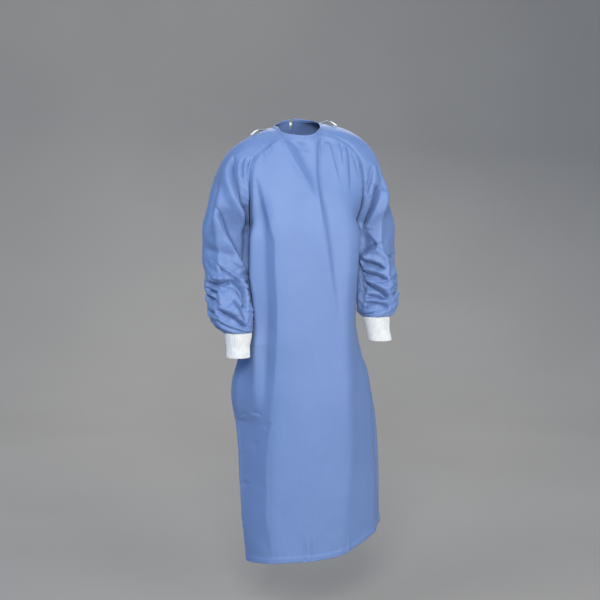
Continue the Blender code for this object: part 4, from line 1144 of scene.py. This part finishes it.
def neckline():
    """The neck edge from the wearer's right back free edge round the front to the left one."""
    ends = np.linspace(0, 1, 60)
    right = back_grid("right", [0.0], ends)[0][::-1]
    left = back_grid("left", [0.0], ends)[0]
    front = front_grid([0.0], np.linspace(0, 1, 120))[0]
    arms = {side: sleeve_grid(side, [0.0], ends)[0] for side in SIDES}
    return join(right, arms["right"][1:-1][::-1], front, arms["left"][1:-1], left)


def binding_grid(columns):
    line = spaced(neckline(), columns)
    out = unit((line - (NECK_SHIFT, 0, 0)) * (1, 1, 0))
    lean = np.radians(BINDING_LEAN[0] + BINDING_LEAN[1] * out[:, :1] ** 2)
    up = UP * np.cos(lean) - out * np.sin(lean)
    face = out * np.cos(lean) + UP * np.sin(lean)
    uneven = ripple(columns * 0.5, 0.011, 141)[:, None] * BINDING_RIPPLE
    rows = [line + up * (SEAM_GAP + b) + face * (a + uneven) for a, b in BINDING_PROFILE]
    return np.array(rows[::-1])


def yoke_back_row(side, level):
    """A row from the centre back over the back and the shoulder as far as the front raglan seam."""
    back = half_row("b", side, level)
    arm = sleeve_row(side, level)[::-1]
    return join(back, arm[1:]), len(back) + DENSE - 1


def tie_path(columns, rows, spot):
    """Points along a tie, and its outward ways there. Spot gives both for the values of a table's row."""
    found = table(columns, rows)
    order = np.arange(len(rows))
    steps = np.linspace(0, order[-1], TIE_STEPS * order[-1] + 1)
    spots = [spot(*(at_level(order, values, step) for values in found.values())) for step in steps]
    points, outs = zip(*spots)
    return np.array(points), np.array(outs)


def shoulder_spot(side, level, share, lift):
    """A point over the back or a shoulder for a neck tie, and its outward way."""
    spots = []
    for near in (level - 0.02, level, level + 0.02):
        line, top = yoke_back_row(side, near)
        along = lengths(line)
        at = max(share * along[top], KNOT[0] - 0.002)
        spots.append(between(at + np.array((-0.004, 0, 0.004)), along, line))
    low, mid, high = spots
    out = unit(np.cross(high[1] - low[1], mid[2] - mid[0]) * -SIDES[side])
    return mid[1] + out * (lift + TIE_CLEAR + TAPE), out


def rearward(way, other):
    """The direction square to both ways that points to the back."""
    out = unit(np.cross(way, other))
    return out * np.sign(out[1])


def back_spot(level, share, lift):
    """A point lift off the wearer's right back at a share of its row, and its outward way."""
    columns = np.array((0, share - 0.01, share, share + 0.01, 1))
    low, mid, high = back_grid("right", [level - 0.02, level, level + 0.02], columns)
    out = rearward(mid[3] - mid[1], high[2] - low[2])
    return mid[2] + out * lift, out


def waist_spot(share, down, lift):
    return back_spot(WAIST_LEVEL + down, share, lift + TIE_CLEAR + TAPE)


def tape_object(name, points, outs, width, look, seed):
    """A woven tape along a path, a little cupped, with uneven edges."""
    across = unit(np.cross(np.gradient(points, axis=0), outs))
    s = lengths(points)
    twist = 0.10 * ripple(s, 0.03, seed)[:, None]
    columns = np.linspace(-1, 1, 9)
    rows = []
    for c in columns:
        edge = 0.0004 * noise(s, s * 0 + c, 0.012, 1.0, seed + 1)[:, None]
        rise = edge * abs(c) + 0.0003 * c * c + twist * c * width / 2
        rows.append(points + across * (c * width / 2) + outs * rise)
    grid = np.array(rows).transpose(1, 0, 2)
    index = grid_index(grid.shape)
    faces = grid_faces(index)
    flat = grid.reshape(-1, 3)
    if (normals_of(flat, faces)[index[len(index) // 2, 4]] * outs[len(outs) // 2]).sum() < 0:
        faces = faces[:, ::-1]
    u, v = np.broadcast_arrays(columns[None, :] * width / 2, s[:, None])
    both = np.concatenate([np.stack([u.ravel(), v.ravel()], 1)] * 2)
    closed_points, closed_faces = solid(flat, faces, TAPE_THICK)
    return mesh_object(name, closed_points, closed_faces, look, both[closed_faces.ravel()])


def knot_object(name, middle, out, look):
    """A tied knot: bands of tape wound round each other."""
    along = unit(np.cross(UP, out))
    axes = np.array((along, out, np.cross(along, out)))
    size = np.array(KNOT) * KNOT_SHARE
    points, faces, count = [], [], 0
    for tilt, shift, scale, half in KNOT_BANDS:
        t = np.linspace(0, 2 * np.pi, 49)
        ring = np.stack([np.sin(tilt) * np.cos(t), np.sin(t), np.cos(tilt) * np.cos(t)], axis=1)
        side = np.array((np.cos(tilt), 0, -np.sin(tilt)))
        rows = []
        for c in np.linspace(-1, 1, 9):
            body = ring * scale * math.sqrt(1 - 0.22 * c * c) + side * (c * half / KNOT[0] + shift)
            rows.append(middle + (body * size) @ axes)
        grid = np.array(rows)
        index = grid_index(grid.shape, 0)
        flat = grid.reshape(-1, 3)
        quads = grid_faces(index)
        normal = normals_of(flat, quads)[index[4, 12]]
        if (normal * (flat[index[4, 12]] - middle)).sum() < 0:
            quads = quads[:, ::-1]
        made, closed = solid(flat, quads, KNOT_THICK)
        points.append(made)
        faces.append(closed + count)
        count += len(made)
    points, faces = np.concatenate(points), np.concatenate(faces)
    uv = (points @ np.array((along, UP)).T)[faces.ravel()]
    return mesh_object(name, points, faces, look, uv)


def stitches_along(line, outs):
    """Centres, ways and outward directions of stitches along a line on the cloth."""
    along = lengths(line)
    at = np.arange(STITCH, along[-1] - STITCH, STITCH)
    spots = between(at, along, line)
    ahead = between(at + 0.001, along, line)
    return spots, unit(ahead - spots), unit(between(at, along, outs))


def stitching_object(name, lines, look):
    """Small rounded threads, half sunk in the cloth, along all these lines."""
    found = [np.concatenate(parts) for parts in zip(*[stitches_along(*line) for line in lines])]
    spots, way, up = found
    axes = np.stack([way, np.cross(way, up), up], axis=1)
    along, size, lift = np.repeat(STITCH_RINGS, STITCH_SIDES, axis=0).T
    turn = np.tile(np.radians(np.arange(STITCH_SIDES) * 360 / STITCH_SIDES), len(STITCH_RINGS))
    shape = points_of(
        along * STITCH_LENGTH / 2,
        np.cos(turn) * size * STITCH_THICK,
        (np.sin(turn) * size + lift) * STITCH_THICK,
    )
    points = spots[:, None] + shape @ axes
    quads = []
    for r in range(len(STITCH_RINGS) - 1):
        for k in range(STITCH_SIDES):
            a, b = r * STITCH_SIDES + k, r * STITCH_SIDES + (k + 1) % STITCH_SIDES
            quads.append((a, b, b + STITCH_SIDES, a + STITCH_SIDES))
    faces = (np.arange(len(spots))[:, None, None] * len(shape) + np.array(quads)[None]).reshape(-1, 4)
    mesh_object(name, points.reshape(-1, 3), faces, look)


def inset_line(grid, normals, from_edge, which, rows=slice(None)):
    """A line on a panel at a distance from its first or last column, and the outward directions there."""
    along = along_rows(grid)
    line, outs = [], []
    for k in range(len(grid))[rows]:
        at = from_edge if which == "first" else along[k, -1] - from_edge
        line.append(between(at, along[k], grid[k]))
        outs.append(between(at, along[k], normals[k]))
    return np.array(line), np.array(outs)


class Shader:
    """A material's node tree, with short calls to add and join nodes."""

    def __init__(self, name):
        self.material = bpy.data.materials.new(name)
        self.material.use_nodes = True
        self.tree = self.material.node_tree
        self.main = self.tree.nodes["Principled BSDF"]
        place = self.node("TexCoord")
        self.uv, self.spot = place.outputs["UV"], place.outputs["Object"]

    def node(self, kind, **settings):
        made = self.tree.nodes.new("ShaderNode" + kind)
        for key, value in settings.items():
            setattr(made, key, value)
        return made

    def join(self, source, target):
        self.tree.links.new(source, target)

    def maths(self, operation, a, b=None):
        made = self.node("Math", operation=operation)
        for socket, value in zip(made.inputs, (a, b)):
            if value is None:
                continue
            if isinstance(value, (int, float)):
                socket.default_value = value
            else:
                self.join(value, socket)
        return made.outputs[0]

    def noise(self, vector, scale, detail=2.0):
        made = self.node("TexNoise")
        made.inputs["Scale"].default_value = scale
        made.inputs["Detail"].default_value = detail
        self.join(vector, made.inputs["Vector"])
        return made.outputs["Fac"]

    def paint(self, factor, colours):
        """The colour runs from the first to the second as the factor runs from 0.3 to 0.7."""
        made = self.node("ValToRGB")
        for stop, place, colour in zip(made.color_ramp.elements, (0.3, 0.7), colours):
            stop.position = place
            stop.color = (*colour, 1)
        self.join(factor, made.inputs["Fac"])
        self.join(made.outputs["Color"], self.main.inputs["Base Color"])

    def stretched(self, vector, scale):
        made = self.node("Mapping")
        made.inputs["Scale"].default_value = scale
        self.join(vector, made.inputs["Vector"])
        return made.outputs["Vector"]

    def set(self, **values):
        for key, value in values.items():
            self.main.inputs[key.replace("_", " ")].default_value = value


def threads(shader, uv, pitch):
    """The height of a plain weave: threads that pass over and under each other."""
    split = shader.node("SeparateXYZ")
    shader.join(uv, split.inputs[0])
    u = shader.maths("SINE", shader.maths("MULTIPLY", split.outputs[0], math.pi / pitch))
    v = shader.maths("SINE", shader.maths("MULTIPLY", split.outputs[1], math.pi / pitch))
    over = shader.maths("MULTIPLY", u, v)
    warp = shader.maths("MULTIPLY", shader.maths("ABSOLUTE", u), shader.maths("ADD", over, 1.0))
    weft = shader.maths("MULTIPLY", shader.maths("ABSOLUTE", v), shader.maths("SUBTRACT", 1.0, over))
    return shader.maths("MAXIMUM", warp, weft)


def bump(shader, height, distance, strength, normal=None):
    """Joins a bump to the surface, on top of another one where that is given."""
    made = shader.node("Bump")
    made.inputs["Distance"].default_value = distance
    made.inputs["Strength"].default_value = strength
    shader.join(height, made.inputs["Height"])
    if normal is not None:
        shader.join(normal, made.inputs["Normal"])
    shader.join(made.outputs["Normal"], shader.main.inputs["Normal"])
    return made.outputs["Normal"]


def gown_look():
    shader = Shader("gown_cloth_woven")
    streaks = shader.noise(shader.stretched(shader.uv, (420.0, 9.0, 1.0)), 1.0, 3.0)
    slubs = shader.noise(shader.stretched(shader.uv, (14.0, 700.0, 1.0)), 1.0, 3.0)
    cloudy = shader.noise(shader.spot, 6.0, 4.0)
    mixed = shader.maths("MULTIPLY", streaks, 0.30)
    mixed = shader.maths("ADD", mixed, shader.maths("MULTIPLY", slubs, 0.25))
    mixed = shader.maths("ADD", mixed, shader.maths("MULTIPLY", cloudy, 0.45))
    shader.paint(mixed, GOWN_BLUE)
    rough = shader.maths("ADD", shader.maths("MULTIPLY", streaks, 0.16), 0.50)
    shader.join(rough, shader.main.inputs["Roughness"])
    shader.set(Specular_IOR_Level=0.45)
    shader.set(Sheen_Weight=0.12, Sheen_Roughness=0.45, Sheen_Tint=(0.72, 0.82, 1.0, 1.0))
    weave = bump(shader, threads(shader, shader.uv, 0.00042), 0.00004, 0.7)
    bump(shader, shader.noise(shader.spot, 150.0, 4.0), 0.00045, 0.5, weave)
    return shader.material


def grained_look(name, grain, colours, **values):
    """A look with an even surface and a grain of two colours, of a scale and a detail."""
    shader = Shader(name)
    shader.paint(shader.noise(shader.spot, *grain), colours)
    shader.set(**values)
    return shader


def knit_look():
    settings = {"Roughness": 0.9, "Specular_IOR_Level": 0.2, "Sheen_Weight": 0.25, "Sheen_Roughness": 0.5}
    shader = grained_look("white_knit_ribbed", (60.0, 3.0), KNIT_WHITE, **settings)
    loops = threads(shader, shader.stretched(shader.uv, (1.0, 1.6, 1.0)), 0.0012)
    bump(shader, loops, 0.00022, 0.8)
    return shader.material


def tape_look():
    settings = {"Roughness": 0.75, "Specular_IOR_Level": 0.3, "Sheen_Weight": 0.15}
    shader = grained_look("tie_tape_woven", (120.0, 3.0), TAPE_WHITE, **settings)
    bump(shader, threads(shader, shader.uv, 0.0007), 0.00012, 0.8)
    return shader.material


def thread_look():
    settings = {"Roughness": 0.5, "Specular_IOR_Level": 0.4, "Sheen_Weight": 0.1}
    return grained_look("sewing_thread", (900.0, 2.0), THREAD_BLUE, **settings).material


def studio_look():
    settings = {"Roughness": 0.95, "Specular_IOR_Level": 0.1}
    return grained_look("studio_paper", (1.5, 2.0), PAPER_GREY, **settings).material


def studio():
    """A pale sweep of paper, from the floor up behind the gown."""
    turn = math.radians(CAMERA_AZIMUTH)
    rise = np.linspace(0, np.pi / 2, 20)
    far = SWEEP_START + SWEEP_BEND
    depth = join([SWEEP_NEAR], SWEEP_START + SWEEP_BEND * np.sin(rise), [far])[:, None]
    height = join([0], SWEEP_BEND * (1 - np.cos(rise)), [SWEEP_HEIGHT])[:, None]
    x = np.linspace(-SWEEP_HALF_WIDTH, SWEEP_HALF_WIDTH, 9)
    across = x * math.cos(turn) - depth * math.sin(turn)
    grid = points_of(across, x * math.sin(turn) + depth * math.cos(turn), FLOOR_Z + height)
    faces = grid_faces(grid_index(grid.shape), True)
    plain_object("studio_sweep", grid.reshape(-1, 3), faces, studio_look())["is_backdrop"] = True


def away(azimuth, elevation):
    """The direction from a target to a place at this azimuth and elevation in degrees."""
    a, e = math.radians(azimuth), math.radians(elevation)
    return Vector((math.sin(a) * math.cos(e), -math.cos(a) * math.cos(e), math.sin(e)))


def aimed(name, data, place, back):
    """An object at a place, turned to look against the direction back."""
    made = link(bpy.data.objects.new(name, data))
    made.location = place
    made.rotation_euler = (-back).to_track_quat("-Z", "Y").to_euler()
    return made


def lamp(name, place, target, size, power, colour):
    azimuth, elevation, distance = place
    back = away(azimuth, elevation)
    data = bpy.data.lights.new(name, "AREA")
    data.energy = power
    data.size = size
    data.color = colour
    made = aimed(name, data, Vector(target) + back * distance, back)
    made.visible_camera = False


def lights_and_camera():
    scene = bpy.context.scene
    scene.view_settings.view_transform = "Standard"
    world = bpy.data.worlds.new("studio")
    scene.world = world
    world.use_nodes = True
    background = world.node_tree.nodes["Background"]
    background.inputs["Color"].default_value = SKY
    background.inputs["Strength"].default_value = SKY_STRENGTH
    for row in LAMPS:
        lamp(*row)
    data = bpy.data.cameras.new("camera")
    data.lens = CAMERA_LENS
    data.sensor_width = SENSOR
    place = away(CAMERA_AZIMUTH, 0) * CAMERA_DISTANCE
    scene.camera = aimed("camera", data, place, away(CAMERA_AZIMUTH, CAMERA_PITCH))


def panel(name, grid, look, replaced, closed_from=None, flip=False):
    """Makes a cloth panel and hides the solid that it replaces."""
    made = panel_object(name, grid, look, closed_from, flip)
    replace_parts(made, replaced)


def front_piece(look):
    """Makes the front and gives the lines of its stitches."""
    front, levels = front_panel()
    normals = grid_normals(front)
    under = int(np.searchsorted(levels, UNDERARM))
    lines = []
    for which in ("first", "last"):
        lines.append(inset_line(front, normals, SEAM_STITCH, which, slice(3, under + 1)))
        lines.append(inset_line(front, normals, SEAM_STITCH, which, slice(under, -8)))
    lines.append((front[-len(HEM_ROWS)], normals[-len(HEM_ROWS)]))
    panel("front_cloth", turned_hem(front, normals), look, "front")
    return lines


def back_piece(side, look):
    """Makes a back panel and gives the lines of its stitches."""
    flip = side == "right"
    back = back_panel(side)
    normals = grid_normals(back, None, flip)
    lines = [
        inset_line(back, normals, FREE_HEM - 0.0015, "last", slice(3, -6)),
        (back[-len(HEM_ROWS)], normals[-len(HEM_ROWS)]),
    ]
    turned = turned_hem(back.transpose(1, 0, 2), normals.transpose(1, 0, 2), rows_up=5)
    whole = turned.transpose(1, 0, 2)
    normals = grid_normals(whole, None, flip)
    keep = back.shape[1]
    normals[:, keep:] = normals[:, keep - 1 : keep]
    whole = turned_hem(whole, normals)
    panel("back_cloth_" + side, whole, look, "back_" + side, flip=flip)
    return lines


def sleeve_piece(side, look):
    """Makes a sleeve and gives the line of its stitches."""
    flip = side == "right"
    arm, closed_from = sleeve_panel(side)
    name = "sleeve_cloth_" + side
    panel(name, arm, look, "sleeve_" + side, closed_from, flip)
    normals = grid_normals(arm, closed_from, flip)
    return [inset_line(arm, normals, SEAM_STITCH, "last", slice(closed_from, -2))]


def cuff_piece(side, look):
    """Makes a cuff. Its cut is twice as long, because it is folded double at its lower edge."""
    made = cuff(side, look)
    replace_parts(made, "cuff_" + side)
    ring = cuff_grid(side, 20, np.linspace(0, 1, 80))


def neck_tie_piece(side, look):
    """Makes a neck tie. Its diameter is its width."""
    points, outs = tie_path(NECK_TIE_COLUMNS, NECK_TIE_ROWS[side], partial(shoulder_spot, side))
    made = tape_object("neck_tape_" + side, points, outs, NECK_TIE, look, 151)
    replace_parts(made, "neck_tie_" + side)


def waist_tie_piece(name, look):
    points, outs = tie_path(WAIST_COLUMNS, WAIST_ROWS[name], waist_spot)
    made = tape_object("waist_tape_" + name, points, outs, WAIST_TIE, look, 161)
    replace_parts(made, "waist_tie_" + name)


def knot_pieces(look):
    middle, out = back_spot(WAIST_LEVEL, WAIST_KNOT, KNOT[1] + KNOT_CLEAR)
    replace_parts(knot_object("waist_knot_tied", middle, out, look), "waist_knot")
    line, _ = yoke_back_row("left", NECK_KNOT_LEVEL)
    above, _ = yoke_back_row("left", NECK_KNOT_LEVEL - 0.02)
    out = rearward(line[6] - line[0], line[0] - above[0])
    middle = line[0] + out * (KNOT[1] + KNOT_CLEAR)
    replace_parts(knot_object("neck_knot_tied", middle, out, look), "neck_knot")


def build():
    blue, white, tape, thread = gown_look(), knit_look(), tape_look(), thread_look()
    lines = front_piece(blue)
    for side in SIDES:
        lines += back_piece(side, blue)
        lines += sleeve_piece(side, blue)
        cuff_piece(side, white)
        neck_tie_piece(side, tape)
    binding = binding_grid(np.linspace(0, 1, 521))
    panel("neck_binding_strip", binding, blue, "neck_binding")
    for name in WAIST_ROWS:
        waist_tie_piece(name, tape)
    knot_pieces(tape)
    stitching_object("stitching", lines, thread)


build()
studio()
lights_and_camera()
bpy.context.view_layer.update()
sizes = {"cad": cad_box, "visual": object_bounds()}
sizes = {name: [list(map(float, corner)) for corner in box] for name, box in sizes.items()}
